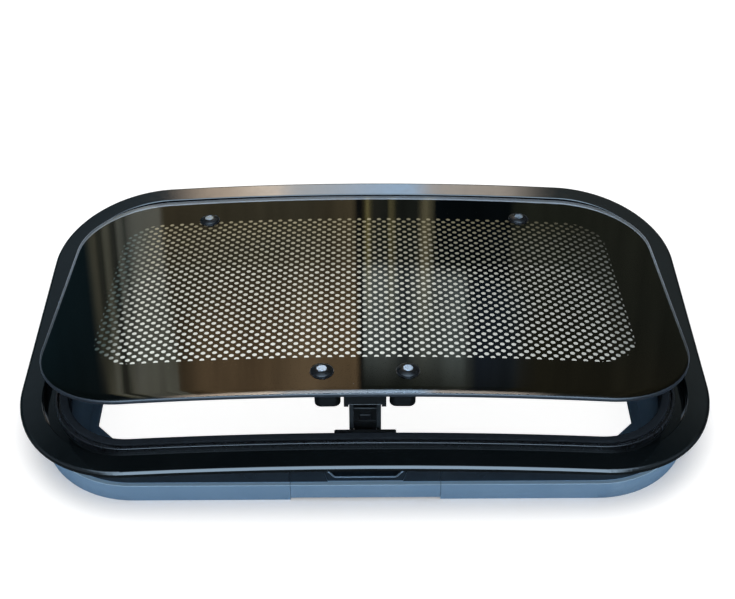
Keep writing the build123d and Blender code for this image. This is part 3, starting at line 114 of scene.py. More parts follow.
def edge_wear(tree, strength):
    """Share that rises on worn outer edges, broken up by small blotches."""
    shape = tree.nodes.new("ShaderNodeNewGeometry")
    rise = spread_value(tree, shape.outputs["Pointiness"], WEAR_START, WEAR_END, 0.0, strength)
    return arithmetic(tree, "MULTIPLY", rise, mottle(tree, WEAR_BLOTCH_SIZE, contrast=WEAR_CONTRAST))


def grain_bump(tree, shader, size_mm, relief_mm):
    """Fine moulded grain as a bump on the shader, with real grain size and relief."""
    bump = tree.nodes.new("ShaderNodeBump")
    bump.inputs["Strength"].default_value = 1.0
    bump.inputs["Distance"].default_value = relief_mm * MM
    tree.links.new(mottle(tree, size_mm, detail=GRAIN_DETAIL), bump.inputs["Height"])
    tree.links.new(bump.outputs["Normal"], shader.inputs["Normal"])


def moulded_finish(name, colour, shade, roughness, grain, relief, wear=0.25, worn=None, mirror=0.5):
    """Moulded plastic or rubber: cloudy colour, uneven gloss, grain, and pale worn edges."""
    finish, tree, shader = start_finish(name)
    cloudy = blend_colours(tree, mottle(tree, CLOUD_SIZE), colour, shade)
    pale = worn or tuple(min(1.0, value * PALE_FACTOR + PALE_LIFT) for value in colour)
    base = blend_colours(tree, edge_wear(tree, wear), cloudy, pale)
    tree.links.new(base, shader.inputs["Base Color"])
    uneven = mottle(tree, GLOSS_BLOTCH_SIZE, *roughness, detail=GLOSS_DETAIL)
    tree.links.new(uneven, shader.inputs["Roughness"])
    shader.inputs["Specular IOR Level"].default_value = mirror
    grain_bump(tree, shader, grain, relief)
    return finish


def dress_node(name, finish):
    """Gives a CAD node its material in every slot."""
    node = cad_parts[name]
    if not node.material_slots:
        node.data.materials.append(finish)
    for slot in node.material_slots:
        slot.material = finish
    return node


frame_gloss = moulded_finish(
    "frame_gloss",
    colour=(0.0016, 0.0026, 0.0034),
    shade=(0.003, 0.0044, 0.0054),
    roughness=(0.06, 0.13),
    grain=2.4,
    relief=0.004,
    wear=0.15,
)
dress_node("outer_frame", frame_gloss)

# Roof gasket: a flat ring of closed-cell foam glued under the flange, where it is squeezed
# against the roof skin. Charcoal foam, cut from sheet, with open pores on its cut edge.
gasket_foam = moulded_finish(
    "gasket_foam",
    colour=(0.03, 0.03, 0.032),
    shade=(0.055, 0.055, 0.058),
    roughness=(0.85, 0.98),
    grain=0.9,
    relief=0.25,
    wear=0.0,
)
dress_node("roof_gasket", gasket_foam)

# Glass seal: an extruded rubber ring pushed over the frame's upstand. A thin outer lip keeps
# grit out, a round bulb takes the glass, and a skirt hangs down inside over the trim.
FRAME_HALF_LENGTH = 400.0
FRAME_HALF_WIDTH = 250.0
FRAME_CORNER = 138.0
CROWN_RADIUS = 4010.0
CROWN_TOP = 80.0
STRAIGHT_STEP = 12.0
CORNER_STEPS = 28
ARC_STEPS = 6
SEAL_CREASE = 60
SEAL_TOP = 5.3
SEAL_BASE = 13.0
SEAL_LIP_OUT = 39.3
SEAL_LIP_IN = 42.9
SEAL_GROOVE_FLOOR = 9.3
SEAL_BULB_OUT = 45.8
SEAL_BULB_IN = 55.3
SEAL_SKIRT_OUT = 50.1
SEAL_SKIRT_END = 21.6


def crown_height(x, depth):
    """Height of the crowned surface a depth below the top, at x from the middle."""
    return CROWN_TOP - CROWN_RADIUS + math.sqrt((CROWN_RADIUS - depth) ** 2 - x * x)


def outline_stations(half_length, half_width, corner):
    """Points round a rounded rectangle, each with the direction that faces outward."""
    straight_x = half_length - corner
    straight_y = half_width - corner
    stations = []
    for quarter in range(4):
        middle_x = straight_x * (1, -1, -1, 1)[quarter]
        middle_y = straight_y * (1, 1, -1, -1)[quarter]
        run = (2 * straight_x, 2 * straight_y)[quarter % 2]
        for step in range(CORNER_STEPS + 1):
            turn = math.pi / 2 * (quarter + step / CORNER_STEPS)
            out = (math.cos(turn), math.sin(turn))
            stations.append((middle_x + corner * out[0], middle_y + corner * out[1], *out))
        x, y, out_x, out_y = stations[-1]
        pieces = max(2, round(run / STRAIGHT_STEP))
        for piece in range(1, pieces):
            gone = run * piece / pieces
            stations.append((x - out_y * gone, y + out_x * gone, out_x, out_y))
    return stations


FRAME_STATIONS = outline_stations(FRAME_HALF_LENGTH, FRAME_HALF_WIDTH, FRAME_CORNER)


def make_piece(name, points, faces):
    """Smooth-shaded mesh piece from points in millimetres."""
    mesh = bpy.data.meshes.new(name)
    mesh.from_pydata([tuple(value * MM for value in point) for point in points], [], faces)
    mesh.polygons.foreach_set("use_smooth", [True] * len(mesh.polygons))
    mesh.validate()
    piece = bpy.data.objects.new(name, mesh)
    bpy.context.scene.collection.objects.link(piece)
    return piece


def ring_piece(name, section):
    """Extruded ring: a closed section of (inset, depth) taken round the frame's outline."""
    points = []
    for x, y, out_x, out_y in FRAME_STATIONS:
        for inset, depth in section:
            place_x = x - out_x * inset
            points.append((place_x, y - out_y * inset, crown_height(place_x, depth)))
    count = len(section)
    total = len(FRAME_STATIONS)
    faces = []
    for station in range(total):
        here = station * count
        there = (station + 1) % total * count
        for corner in range(count):
            after = (corner + 1) % count
            faces.append((here + corner, there + corner, there + after, here + after))
    return make_piece(name, points, faces)


def rounded_section(corners):
    """Section outline whose (inset, depth, radius) corners are turned into short arcs."""
    section = []
    for index, (inset, depth, radius) in enumerate(corners):
        before = corners[index - 1]
        after = corners[(index + 1) % len(corners)]
        here = Vector((inset, depth))
        inward = (Vector(before[:2]) - here).normalized()
        outward = (Vector(after[:2]) - here).normalized()
        for step in range(ARC_STEPS + 1):
            share = step / ARC_STEPS
            near = here + inward * radius * (1 - share)
            far = here + outward * radius * share
            point = near.lerp(here, share).lerp(here.lerp(far, share), share)
            section.append((point.x, point.y))
    return section


def crease(piece, angle):
    """Keeps edges sharp in shading where faces meet more steeply than an angle in degrees."""
    piece.data.set_sharp_from_angle(angle=math.radians(angle))


def dress(piece, finish):
    """Gives a piece its material."""
    piece.data.materials.clear()
    piece.data.materials.append(finish)


def second_finish(piece, finish, chosen):
    """Adds a second material to a piece and gives it to the faces that a test chooses."""
    piece.data.materials.append(finish)
    for face in piece.data.polygons:
        face.material_index = 1 if chosen(face) else 0


seal_section = rounded_section([
    (SEAL_LIP_OUT, SEAL_BASE, 0.4),
    (SEAL_LIP_OUT, SEAL_TOP, 1.7),
    (SEAL_LIP_IN, SEAL_TOP, 1.7),
    (SEAL_LIP_IN, SEAL_GROOVE_FLOOR, 1.0),
    (SEAL_BULB_OUT, SEAL_GROOVE_FLOOR, 1.0),
    (SEAL_BULB_OUT, SEAL_TOP, 3.4),
    (SEAL_BULB_IN, SEAL_TOP, 3.8),
    (SEAL_BULB_IN, SEAL_SKIRT_END, 0.8),
    (SEAL_SKIRT_OUT, SEAL_SKIRT_END, 0.8),
    (SEAL_SKIRT_OUT, SEAL_BASE, 0.3),
])
seal_rubber = moulded_finish(
    "seal_rubber",
    colour=(0.005, 0.006, 0.008),
    shade=(0.010, 0.012, 0.015),
    roughness=(0.24, 0.34),
    grain=3.0,
    relief=0.004,
    wear=0.1,
)
seal_flock = moulded_finish(
    "seal_flock",
    colour=(0.004, 0.005, 0.0065),
    shade=(0.007, 0.0085, 0.0105),
    roughness=(0.75, 0.92),
    grain=0.25,
    relief=0.05,
    wear=0.0,
    mirror=0.15,
)
seal_ring = ring_piece("seal_ring", seal_section)
crease(seal_ring, SEAL_CREASE)
dress(seal_ring, seal_rubber)
bulb_start = min(index for index, point in enumerate(seal_section) if point[0] > SEAL_BULB_OUT)
second_finish(seal_ring, seal_flock, lambda face: face.index % len(seal_section) >= bulb_start)
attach(seal_ring, "frame")
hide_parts("glass_seal")

# Inner trim ring: the part seen from inside the van. A satin steel-blue moulding with a skirt,
# a ledge, an upper wall and a cove that leads to the opening; screws draw it up to the frame.
SKIRT_TOP = 25.6
LEDGE_ABOVE = 0.4
LEDGE_BELOW = 3.0
LEDGE_UPRIGHT = 0.6
# Painted light: the up-facing ledge gets a pale blue that lifts it out of the flange's shadow.
LEDGE_PAINTED_LIGHT = (0.30, 0.46, 0.62)
# Painted shade: the cove darkens upward from the lip, and the outer upper wall has a darker tone of its own
# plus painted shade under the flange.
COVE_FADE_START = 14.0
COVE_FADE_END = 42.0
WALL_CLOUD_SIZE = 30.0
WALL_DARK = (0.005, 0.009, 0.014)
WALL_LESS_DARK = (0.009, 0.015, 0.022)
WELD_REACH = 0.01
EASE_ANGLE = math.radians(38)
EASE_STEPS = 2
TRIM_EDGE = 0.4
trim_satin = moulded_finish(
    "trim_satin",
    colour=(0.100, 0.182, 0.288),
    shade=(0.122, 0.210, 0.322),
    roughness=(0.38, 0.55),
    grain=0.6,
    relief=0.02,
    wear=0.3,
    worn=(0.2, 0.3, 0.4),
    mirror=0.15,
)


def split_vector(tree, vector):
    """The X, Y and Z sockets of a vector."""
    split = tree.nodes.new("ShaderNodeSeparateXYZ")
    tree.links.new(vector, split.inputs[0])
    return split.outputs


def paint_wall_shade_and_ledge_light(finish):
    """Upper walls: the outer one a darker tone of its own plus painted shade under the flange, the cove
    painted shade that fades in above the lip; skirt and lip stay blue; painted light on the ledge.
    """
    tree = finish.node_tree
    shape = tree.nodes.new("ShaderNodeNewGeometry")
    place = split_vector(tree, shape.outputs["Position"])
    normal = split_vector(tree, shape.outputs["Normal"])
    flat = tree.nodes.new("ShaderNodeCombineXYZ")
    tree.links.new(place["X"], flat.inputs["X"])
    tree.links.new(place["Y"], flat.inputs["Y"])
    facing = tree.nodes.new("ShaderNodeVectorMath")
    facing.operation = "DOT_PRODUCT"
    tree.links.new(flat.outputs[0], facing.inputs[0])
    tree.links.new(shape.outputs["Normal"], facing.inputs[1])
    inward = arithmetic(tree, "LESS_THAN", facing.outputs["Value"], 0.0)
    outward = arithmetic(tree, "SUBTRACT", 1.0, inward)
    above_skirt = arithmetic(tree, "GREATER_THAN", place["Z"], SKIRT_TOP * MM)
    above_lip = spread_value(tree, place["Z"], COVE_FADE_START * MM, COVE_FADE_END * MM)
    outer_wall = arithmetic(tree, "MULTIPLY", above_skirt, outward)
    cove_painted_shade = arithmetic(tree, "MULTIPLY", above_lip, inward)
    wall = arithmetic(tree, "ADD", outer_wall, cove_painted_shade)
    below = arithmetic(tree, "LESS_THAN", place["Z"], (SKIRT_TOP + LEDGE_ABOVE) * MM)
    high = arithmetic(tree, "GREATER_THAN", place["Z"], (SKIRT_TOP - LEDGE_BELOW) * MM)
    facing_up = arithmetic(tree, "GREATER_THAN", normal["Z"], LEDGE_UPRIGHT)
    ledge = arithmetic(tree, "MULTIPLY", arithmetic(tree, "MULTIPLY", below, high), facing_up)
    base = tree.nodes["Principled BSDF"].inputs["Base Color"]
    blue = base.links[0].from_socket
    wall_tone_and_shade = blend_colours(tree, mottle(tree, WALL_CLOUD_SIZE), WALL_DARK, WALL_LESS_DARK)
    walls = blend_colours(tree, wall, blue, wall_tone_and_shade)
    tree.links.new(blend_colours(tree, ledge, walls, LEDGE_PAINTED_LIGHT), base)


def ease_edges(node, width_mm):
    """Small moulded radius on the sharp edges of a CAD node."""
    weld = node.modifiers.new("weld", "WELD")
    weld.merge_threshold = WELD_REACH * MM
    bevel = node.modifiers.new("edge_radius", "BEVEL")
    bevel.width = width_mm * MM
    bevel.segments = EASE_STEPS
    bevel.limit_method = "ANGLE"
    bevel.angle_limit = EASE_ANGLE
    bevel.harden_normals = True


paint_wall_shade_and_ledge_light(trim_satin)
ease_edges(dress_node("trim_ring", trim_satin), TRIM_EDGE)
ease_edges(dress_node("trim_cove", trim_satin), TRIM_EDGE)

# Centre section of the trim ring on the latch side: the same moulding cut free, screwed on
# from below, with a shallow relief and a finger pocket to pull the blind or screen by. A round
# bead is moulded along the pocket's lower edge and turns up along its slanted sides.
BEAD_FACE_Y = -223.9
BEAD_RADIUS = 1.1
BEAD_HALF_BOTTOM = 37.0
BEAD_HALF_TOP = 43.6
BEAD_BOTTOM = 32.4
BEAD_TOP = 45.0
BEAD_BEND_RADIUS = 5.0
BEAD_BEND_STEPS = 5
BEAD_END_SLOPE = math.radians(66.0)
BAR_SIDES = 10


def bar_piece(name, path, radius, place=None):
    """Round bar along a path in one upright plane, with closed ends; place moves its points."""
    points = []
    for number, spot in enumerate(path):
        before = Vector(path[max(0, number - 1)])
        after = Vector(path[min(len(path) - 1, number + 1)])
        along = (after - before).normalized()
        sideways = Vector((0.0, 1.0, 0.0))
        across = along.cross(sideways).normalized()
        for step in range(BAR_SIDES):
            turn = 2 * math.pi * step / BAR_SIDES
            point = Vector(spot) + (across * math.cos(turn) + sideways * math.sin(turn)) * radius
            points.append(tuple(point) if place is None else place(point))
    faces = []
    for number in range(len(path) - 1):
        for step in range(BAR_SIDES):
            after = (step + 1) % BAR_SIDES
            low = number * BAR_SIDES
            faces.append((low + step, low + after, low + BAR_SIDES + after, low + BAR_SIDES + step))
    faces.append(tuple(reversed(range(BAR_SIDES))))
    last = (len(path) - 1) * BAR_SIDES
    faces.append(tuple(range(last, last + BAR_SIDES)))
    return make_piece(name, points, faces)


def bead_path():
    """Lower edge of the pocket: a level run whose ends turn up along its slanted sides."""
    bend_start = BEAD_HALF_BOTTOM - BEAD_BEND_RADIUS
    half = []
    for step in range(BEAD_BEND_STEPS + 1):
        turn = BEAD_END_SLOPE * step / BEAD_BEND_STEPS
        x = bend_start + BEAD_BEND_RADIUS * math.sin(turn)
        half.append((x, BEAD_BOTTOM + BEAD_BEND_RADIUS * (1 - math.cos(turn))))
    half.append((BEAD_HALF_TOP, BEAD_TOP))
    left = [(-x, BEAD_FACE_Y, z) for x, z in reversed(half)]
    return left + [(x, BEAD_FACE_Y, z) for x, z in half]


ease_edges(dress_node("rear_trim_cover", trim_satin), TRIM_EDGE)
bead_blue = moulded_finish(
    "bead_blue",
    colour=(0.05, 0.085, 0.125),
    shade=(0.065, 0.105, 0.15),
    roughness=(0.35, 0.5),
    grain=0.6,
    relief=0.01,
    wear=0.0,
)
pocket_bead = bar_piece("pocket_bead", bead_path(), BEAD_RADIUS)
dress(pocket_bead, bead_blue)
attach(pocket_bead, "frame")

# Clamp screws and the two small screws of the centre section: turned and rolled steel with a
# cross recess, zinc-plated. They are driven from below and draw the trim up to the frame.


def bare_metal_finish(name, colour, shade, cloud, roughness, blotch, detail, grain, relief):
    """Bare or plated steel: cloudy colour, uneven gloss and fine working marks."""
    finish, tree, shader = start_finish(name)
    shader.inputs["Metallic"].default_value = 1.0
    tree.links.new(blend_colours(tree, mottle(tree, cloud), colour, shade), shader.inputs["Base Color"])
    tree.links.new(mottle(tree, blotch, *roughness, detail=detail), shader.inputs["Roughness"])
    grain_bump(tree, shader, grain, relief)
    return finish


zinc_plate = bare_metal_finish(
    "zinc_plate",
    colour=(0.5, 0.5, 0.49),
    shade=(0.66, 0.66, 0.62),
    cloud=3.0,
    roughness=(0.25, 0.5),
    blotch=1.5,
    detail=4.0,
    grain=0.5,
    relief=0.01,
)
for screws in ("clamp_screws", "trim_cover_screws"):
    dress_node(screws, zinc_plate)

# Glass pane: tempered safety glass, dark tinted and bent to the roof's crown, with ground and
# polished edges. It stands open, tilted about the hinge line at its far side.
PANE_HALF_LENGTH = 369.0
PANE_HALF_WIDTH = 217.0
PANE_CORNER = 107.5
PANE_THICKNESS = 5.0
PANE_EDGE_ROUND = 1.2
PANE_EDGE_STEPS = 5
PANE_ROWS = 36
PANE_MIDDLE_COLUMNS = 42
PANE_OPEN_ANGLE = math.radians(9.4)
HINGE_LINE_Y = 209.0
HINGE_LINE_Z = 45.0
GLASS_CLEARNESS = (0.87, 0.88, 0.87, 1.0)
GLASS_INDEX = 1.52
GLASS_BLOTCH_SIZE = 25.0
GLASS_ROUGHNESS = (0.01, 0.03)
GLASS_DETAIL = 5.0
# Painted highlight on the pane's ground edge, strongest along the hinge side.
EDGE_PAINTED_HIGHLIGHT = (0.26, 0.30, 0.36)
FAR_HIGHLIGHT_START = -160.0
FAR_HIGHLIGHT_END = 120.0


def swung_open(point):
    """Where a point of the shut glass lies once the glass stands open, in millimetres."""
    out = point[1] - HINGE_LINE_Y
    up = point[2] - HINGE_LINE_Z
    cos = math.cos(PANE_OPEN_ANGLE)
    sin = math.sin(PANE_OPEN_ANGLE)
    return (point[0], HINGE_LINE_Y + out * cos + up * sin, HINGE_LINE_Z - out * sin + up * cos)


def pane_columns():
    """Columns of (x, y) over the flat sheet's plan, dense round the corners."""
    corner = PANE_CORNER - PANE_EDGE_ROUND
    straight = PANE_HALF_LENGTH - PANE_CORNER
    turns = [math.sin(math.pi / 2 * step / CORNER_STEPS) for step in range(CORNER_STEPS + 1)]
    right = [straight + corner * turn for turn in turns]
    count = PANE_MIDDLE_COLUMNS
    middle = [straight * (2 * step / count - 1) for step in range(1, count)]
    columns = []
    for x in [-value for value in reversed(right)] + middle + right:
        past = max(0.0, abs(x) - straight)
        rise = math.sqrt(max(0.0, corner**2 - past**2))
        half = PANE_HALF_WIDTH - PANE_CORNER + rise
        columns.append([(x, half * (2 * row / PANE_ROWS - 1)) for row in range(PANE_ROWS + 1)])
    return columns


def pane_piece(name):
    """Crowned pane with rounded edges, and how many of its faces belong to the two sheets."""
    columns = pane_columns()
    last = len(columns) - 1
    points = []
    faces = []
    index = {}
    for side, depth in (("top", 0.0), ("bottom", PANE_THICKNESS)):
        for column, row_points in enumerate(columns):
            for row, (x, y) in enumerate(row_points):
                index[side, column, row] = len(points)
                points.append((x, y, crown_height(x, depth)))
    for column in range(last):
        for row in range(PANE_ROWS):
            corners = [(column, row), (column + 1, row), (column + 1, row + 1), (column, row + 1)]
            faces.append([index["top", *corner] for corner in corners])
            faces.append([index["bottom", *corner] for corner in reversed(corners)])
    edge = [(column, 0) for column in range(last)]
    edge += [(last, row) for row in range(PANE_ROWS)]
    edge += [(column, PANE_ROWS) for column in range(last, 0, -1)]
    edge += [(0, row) for row in range(PANE_ROWS, 0, -1)]
    straight_x = PANE_HALF_LENGTH - PANE_CORNER
    straight_y = PANE_HALF_WIDTH - PANE_CORNER
    loops = []
    for column, row in edge:
        x, y = columns[column][row]
        out = Vector((x - max(-straight_x, min(straight_x, x)), y - max(-straight_y, min(straight_y, y))))
        out.normalize()
        loop = [index["top", column, row]]
        for step in range(1, 2 * PANE_EDGE_STEPS):
            half_step = step if step <= PANE_EDGE_STEPS else 2 * PANE_EDGE_STEPS - step
            angle = math.pi / 2 * half_step / PANE_EDGE_STEPS
            reach = PANE_EDGE_ROUND * math.sin(angle)
            drop = PANE_EDGE_ROUND * (1 - math.cos(angle))
            depths = [drop, PANE_THICKNESS - drop]
            if step < PANE_EDGE_STEPS:
                depths = depths[:1]
            elif step > PANE_EDGE_STEPS:
                depths = depths[1:]
            for depth in depths:
                loop.append(len(points))
                place_x = x + out.x * reach
                points.append((place_x, y + out.y * reach, crown_height(place_x, depth)))
        loop.append(index["bottom", column, row])
        loops.append(loop)
    for station, loop in enumerate(loops):
        following = loops[(station + 1) % len(loops)]
        for step in range(len(loop) - 1):
            faces.append((loop[step], loop[step + 1], following[step + 1], following[step]))
    return make_piece(name, [swung_open(point) for point in points], faces), 2 * last * PANE_ROWS


def blend_shaders(tree, share, first, second):
    """Shader between two, by a share."""
    mix = tree.nodes.new("ShaderNodeMixShader")
    for socket, source in zip(mix.inputs, (share, first, second)):
        tree.links.new(source, socket)
    return mix.outputs[0]


def bare_material(name):
    """New material without a shader; returns it, its tree and the socket that takes a shader."""
    finish = bpy.data.materials.new(name)
    finish.use_nodes = True
    tree = finish.node_tree
    tree.nodes.clear()
    return finish, tree, tree.nodes.new("ShaderNodeOutputMaterial").inputs["Surface"]


def tinted_glass_finish():
    """Thin tinted glass: see-through with a mirror film that grows at glancing angles."""
    finish, tree, end = bare_material("tinted_glass")
    clear = tree.nodes.new("ShaderNodeBsdfTransparent")
    clear.inputs["Color"].default_value = GLASS_CLEARNESS
    gloss = tree.nodes.new("ShaderNodeBsdfGlossy")
    gloss.inputs["Color"].default_value = (1.0, 1.0, 1.0, 1.0)
    uneven = mottle(tree, GLASS_BLOTCH_SIZE, *GLASS_ROUGHNESS, detail=GLASS_DETAIL)
    tree.links.new(uneven, gloss.inputs["Roughness"])
    fresnel = tree.nodes.new("ShaderNodeFresnel")
    fresnel.inputs["IOR"].default_value = GLASS_INDEX
    shape = tree.nodes.new("ShaderNodeNewGeometry")
    front = arithmetic(tree, "SUBTRACT", 1.0, shape.outputs["Backfacing"])
    film = arithmetic(tree, "MULTIPLY", fresnel.outputs["Fac"], front)
    tree.links.new(blend_shaders(tree, film, clear.outputs[0], gloss.outputs[0]), end)
    return finish


pane, sheet_faces = pane_piece("glass_pane")
dress(pane, tinted_glass_finish())
ground_edge = moulded_finish(
    "ground_glass_edge",
    colour=(0.004, 0.006, 0.009),
    shade=(0.008, 0.011, 0.015),
    roughness=(0.40, 0.46),
    grain=14.0,
    relief=0.0004,
    wear=0.0,
)


def paint_far_edge_highlight(finish):
    """Ground edge with a painted highlight that grows toward the hinge side, so it is lighter there than on
    the latch side.
    """
    tree = finish.node_tree
    shape = tree.nodes.new("ShaderNodeNewGeometry")
    place = split_vector(tree, shape.outputs["Position"])
    toward_far = spread_value(tree, place["Y"], FAR_HIGHLIGHT_START * MM, FAR_HIGHLIGHT_END * MM)
    colour = tree.nodes["Principled BSDF"].inputs["Base Color"]
    dark = colour.links[0].from_socket
    tree.links.new(blend_colours(tree, toward_far, dark, EDGE_PAINTED_HIGHLIGHT), colour)


paint_far_edge_highlight(ground_edge)
second_finish(pane, ground_edge, lambda face: face.index >= sheet_faces)
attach(pane, "glass")
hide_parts("glass_panel")

# Print on the underside of the glass: black enamel fired on, solid round the edge and open in a
# field of small round dots, staggered row by row, that keeps the sun off and lets light in.
DOT_PITCH = 13.0
DOT_DIAMETER = 5.5
DOT_SIDES = 12
FIELD_HALF_LENGTH = 311.0
FIELD_HALF_WIDTH = 155.0
FIELD_SHIFT = 11.0
FIELD_CORNER = 50.0
PRINT_DEPTH = PANE_THICKNESS - 0.03
BORDER_DEPTH = PANE_THICKNESS - 0.06
PRINT_MARGIN = 1.3
BORDER_BANDS = 5
DOT_CLOUD_SIZE = 40.0
HAZE_CLOUD_SIZE = 18.0
HAZE_SHARE = (0.74, 0.9)
# Painted shade: the dots turn dimmer and browner toward the far rows, toward the right and at the left end.
NEAR_DOTS = ((0.70, 0.73, 0.72), (0.80, 0.83, 0.82))
FAR_DOTS_PAINTED_SHADE = ((0.30, 0.26, 0.17), (0.40, 0.36, 0.25))
RIGHT_DIM_NEAR = (0.42, 0.44, 0.44)
RIGHT_DIM_FAR = (0.03, 0.03, 0.025)
LEFT_DIM = (0.07, 0.10, 0.10)
LEFT_DIM_START = 270.0
LEFT_DIM_END = 297.0


def in_field(x, y, margin):
    """True inside the rounded field of dots, let out by a margin."""
    out_x = max(0.0, abs(x) - (FIELD_HALF_LENGTH - FIELD_CORNER))
    out_y = max(0.0, abs(y - FIELD_SHIFT) - (FIELD_HALF_WIDTH - FIELD_CORNER))
    return math.hypot(out_x, out_y) <= FIELD_CORNER + margin


def dot_cells():
    """Enamel between the dots: a diamond round each dot, meshed up to the dot's edge."""
    half = DOT_PITCH / 2
    corners = [(half, 0.0), (0.0, half), (-half, 0.0), (0.0, -half)]
    per_side = DOT_SIDES // 4
    rim = []
    for side in range(4):
        x, y = corners[side]
        next_x, next_y = corners[(side + 1) % 4]
        for step in range(per_side):
            share = step / per_side
            rim.append((x + (next_x - x) * share, y + (next_y - y) * share))
    hole = []
    for step in range(DOT_SIDES):
        turn = 2 * math.pi * step / DOT_SIDES
        hole.append((DOT_DIAMETER / 2 * math.cos(turn), DOT_DIAMETER / 2 * math.sin(turn)))
    points = []
    faces = []
    known = {}

    def corner_number(x, y):
        key = (round(x, 2), round(y, 2))
        if key not in known:
            known[key] = len(points)
            points.append((x, y))
        return known[key]

    columns = int(FIELD_HALF_LENGTH / half) + 2
    rows = int((FIELD_HALF_WIDTH + FIELD_SHIFT) / half) + 2
    for column in range(-columns, columns + 1):
        for row in range(-rows, rows + 1):
            if (column + row) % 2:
                continue
            x = column * half
            y = row * half
            if not in_field(x, y, DOT_DIAMETER):
                continue
            outer = [corner_number(x + out_x, y + out_y) for out_x, out_y in rim]
            inner = []
            for out_x, out_y in hole:
                inner.append(len(points))
                points.append((x + out_x, y + out_y))
            for step in range(DOT_SIDES):
                after = (step + 1) % DOT_SIDES
                faces.append((outer[step], outer[after], inner[after], inner[step]))
            faces.append(tuple(inner))
    return points, faces


def print_piece(name):
    """The dot field and its solid border as one thin skin that follows the glass."""
    flat, faces = dot_cells()
    points = [(x, y, crown_height(x, PRINT_DEPTH)) for x, y in flat]
    inner = outline_stations(FIELD_HALF_LENGTH, FIELD_HALF_WIDTH, FIELD_CORNER)
    outer = outline_stations(
        PANE_HALF_LENGTH - PRINT_MARGIN, PANE_HALF_WIDTH - PRINT_MARGIN, PANE_CORNER - PRINT_MARGIN
    )
    length = min(len(inner), len(outer))
    first = len(points)
    for station in range(length):
        near = inner[round(station * (len(inner) - 1) / (length - 1))]
        far = outer[round(station * (len(outer) - 1) / (length - 1))]
        for band in range(BORDER_BANDS + 1):
            share = band / BORDER_BANDS
            x = near[0] + (far[0] - near[0]) * share
            start = near[1] + FIELD_SHIFT
            y = start + (far[1] - start) * share
            points.append((x, y, crown_height(x, BORDER_DEPTH)))
    for station in range(length):
        here = first + station * (BORDER_BANDS + 1)
        there = first + (station + 1) % length * (BORDER_BANDS + 1)
        for band in range(BORDER_BANDS):
            faces.append((here + band, here + band + 1, there + band + 1, there + band))
    return make_piece(name, [swung_open(point) for point in points], faces)


def dot_haze_finish():
    """Etched glass inside a dot: it scatters most of the light. Painted shade turns the far rows
    dimmer and browner, and dims the dots toward the right and at the left end, where darker things stand
    behind them."""
    finish, tree, end = bare_material("dot_haze")
    clear = tree.nodes.new("ShaderNodeBsdfTransparent")
    haze = tree.nodes.new("ShaderNodeBsdfDiffuse")
    shape = tree.nodes.new("ShaderNodeNewGeometry")
    place = split_vector(tree, shape.outputs["Position"])
    toward_far = spread_value(tree, place["Y"], -FIELD_HALF_WIDTH * MM, FIELD_HALF_WIDTH * MM)
    toward_right = spread_value(tree, place["X"], 0.0, FIELD_HALF_LENGTH * MM)
    toward_left = spread_value(tree, place["X"], -LEFT_DIM_START * MM, -LEFT_DIM_END * MM)
    near_tone = blend_colours(tree, mottle(tree, DOT_CLOUD_SIZE), *NEAR_DOTS)
    far_shaded = blend_colours(tree, mottle(tree, DOT_CLOUD_SIZE), *FAR_DOTS_PAINTED_SHADE)
    lit = blend_colours(tree, toward_far, near_tone, far_shaded)
    dim = blend_colours(tree, toward_far, RIGHT_DIM_NEAR, RIGHT_DIM_FAR)
    right_dimmed = blend_colours(tree, toward_right, lit, dim)
    tree.links.new(blend_colours(tree, toward_left, right_dimmed, LEFT_DIM), haze.inputs["Color"])
    scatter = mottle(tree, HAZE_CLOUD_SIZE, *HAZE_SHARE)
    tree.links.new(blend_shaders(tree, scatter, clear.outputs[0], haze.outputs[0]), end)
    return finish


enamel = moulded_finish(
    "print_enamel",
    colour=(0.0004, 0.0007, 0.0008),
    shade=(0.0007, 0.0011, 0.0012),
    roughness=(0.35, 0.55),
    grain=0.25,
    relief=0.004,
    wear=0.0,
    mirror=0.0,
)
glass_print = print_piece("glass_print")
dress(glass_print, enamel)
second_finish(glass_print, dot_haze_finish(), lambda face: len(face.vertices) == DOT_SIDES)
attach(glass_print, "glass")

# Caps on the glass: four domed black mouldings over thin rubber rings. The flat bright head of
# each stud sits in the middle of its cap and draws it down on the pane.
STUD_PLACES = [(-203.0, 161.0), (203.0, 161.0), (-47.0, -177.0), (47.0, -177.0)]
CAP_SEAT = 0.73
CAP_SHOULDER = 12.3
CAP_FLAT = 6.2
CAP_FOOT = [(11.6, 0.0), (12.2, 0.15), (12.5, 0.5), (12.5, 1.0), (12.3, 1.35)]
CAP_FOOT_RADIUS = 12.5
CAP_RIM = 1.2
CAP_TOP = 4.5
CAP_RISE = CAP_TOP - CAP_RIM
CAP_DOME = (CAP_FOOT_RADIUS**2 + CAP_RISE**2) / (2 * CAP_RISE)
CAP_DOME_STEPS = 8
CAP_LIP = 0.55
CAP_LIP_ROUND = 0.2
CAP_LIP_DEPTH = 0.6
CAP_DISH_MIDDLE = 0.5
CAP_HEAD_SEAT = 2.1
CAP_CREASE = 50
TURN_STEPS = 64


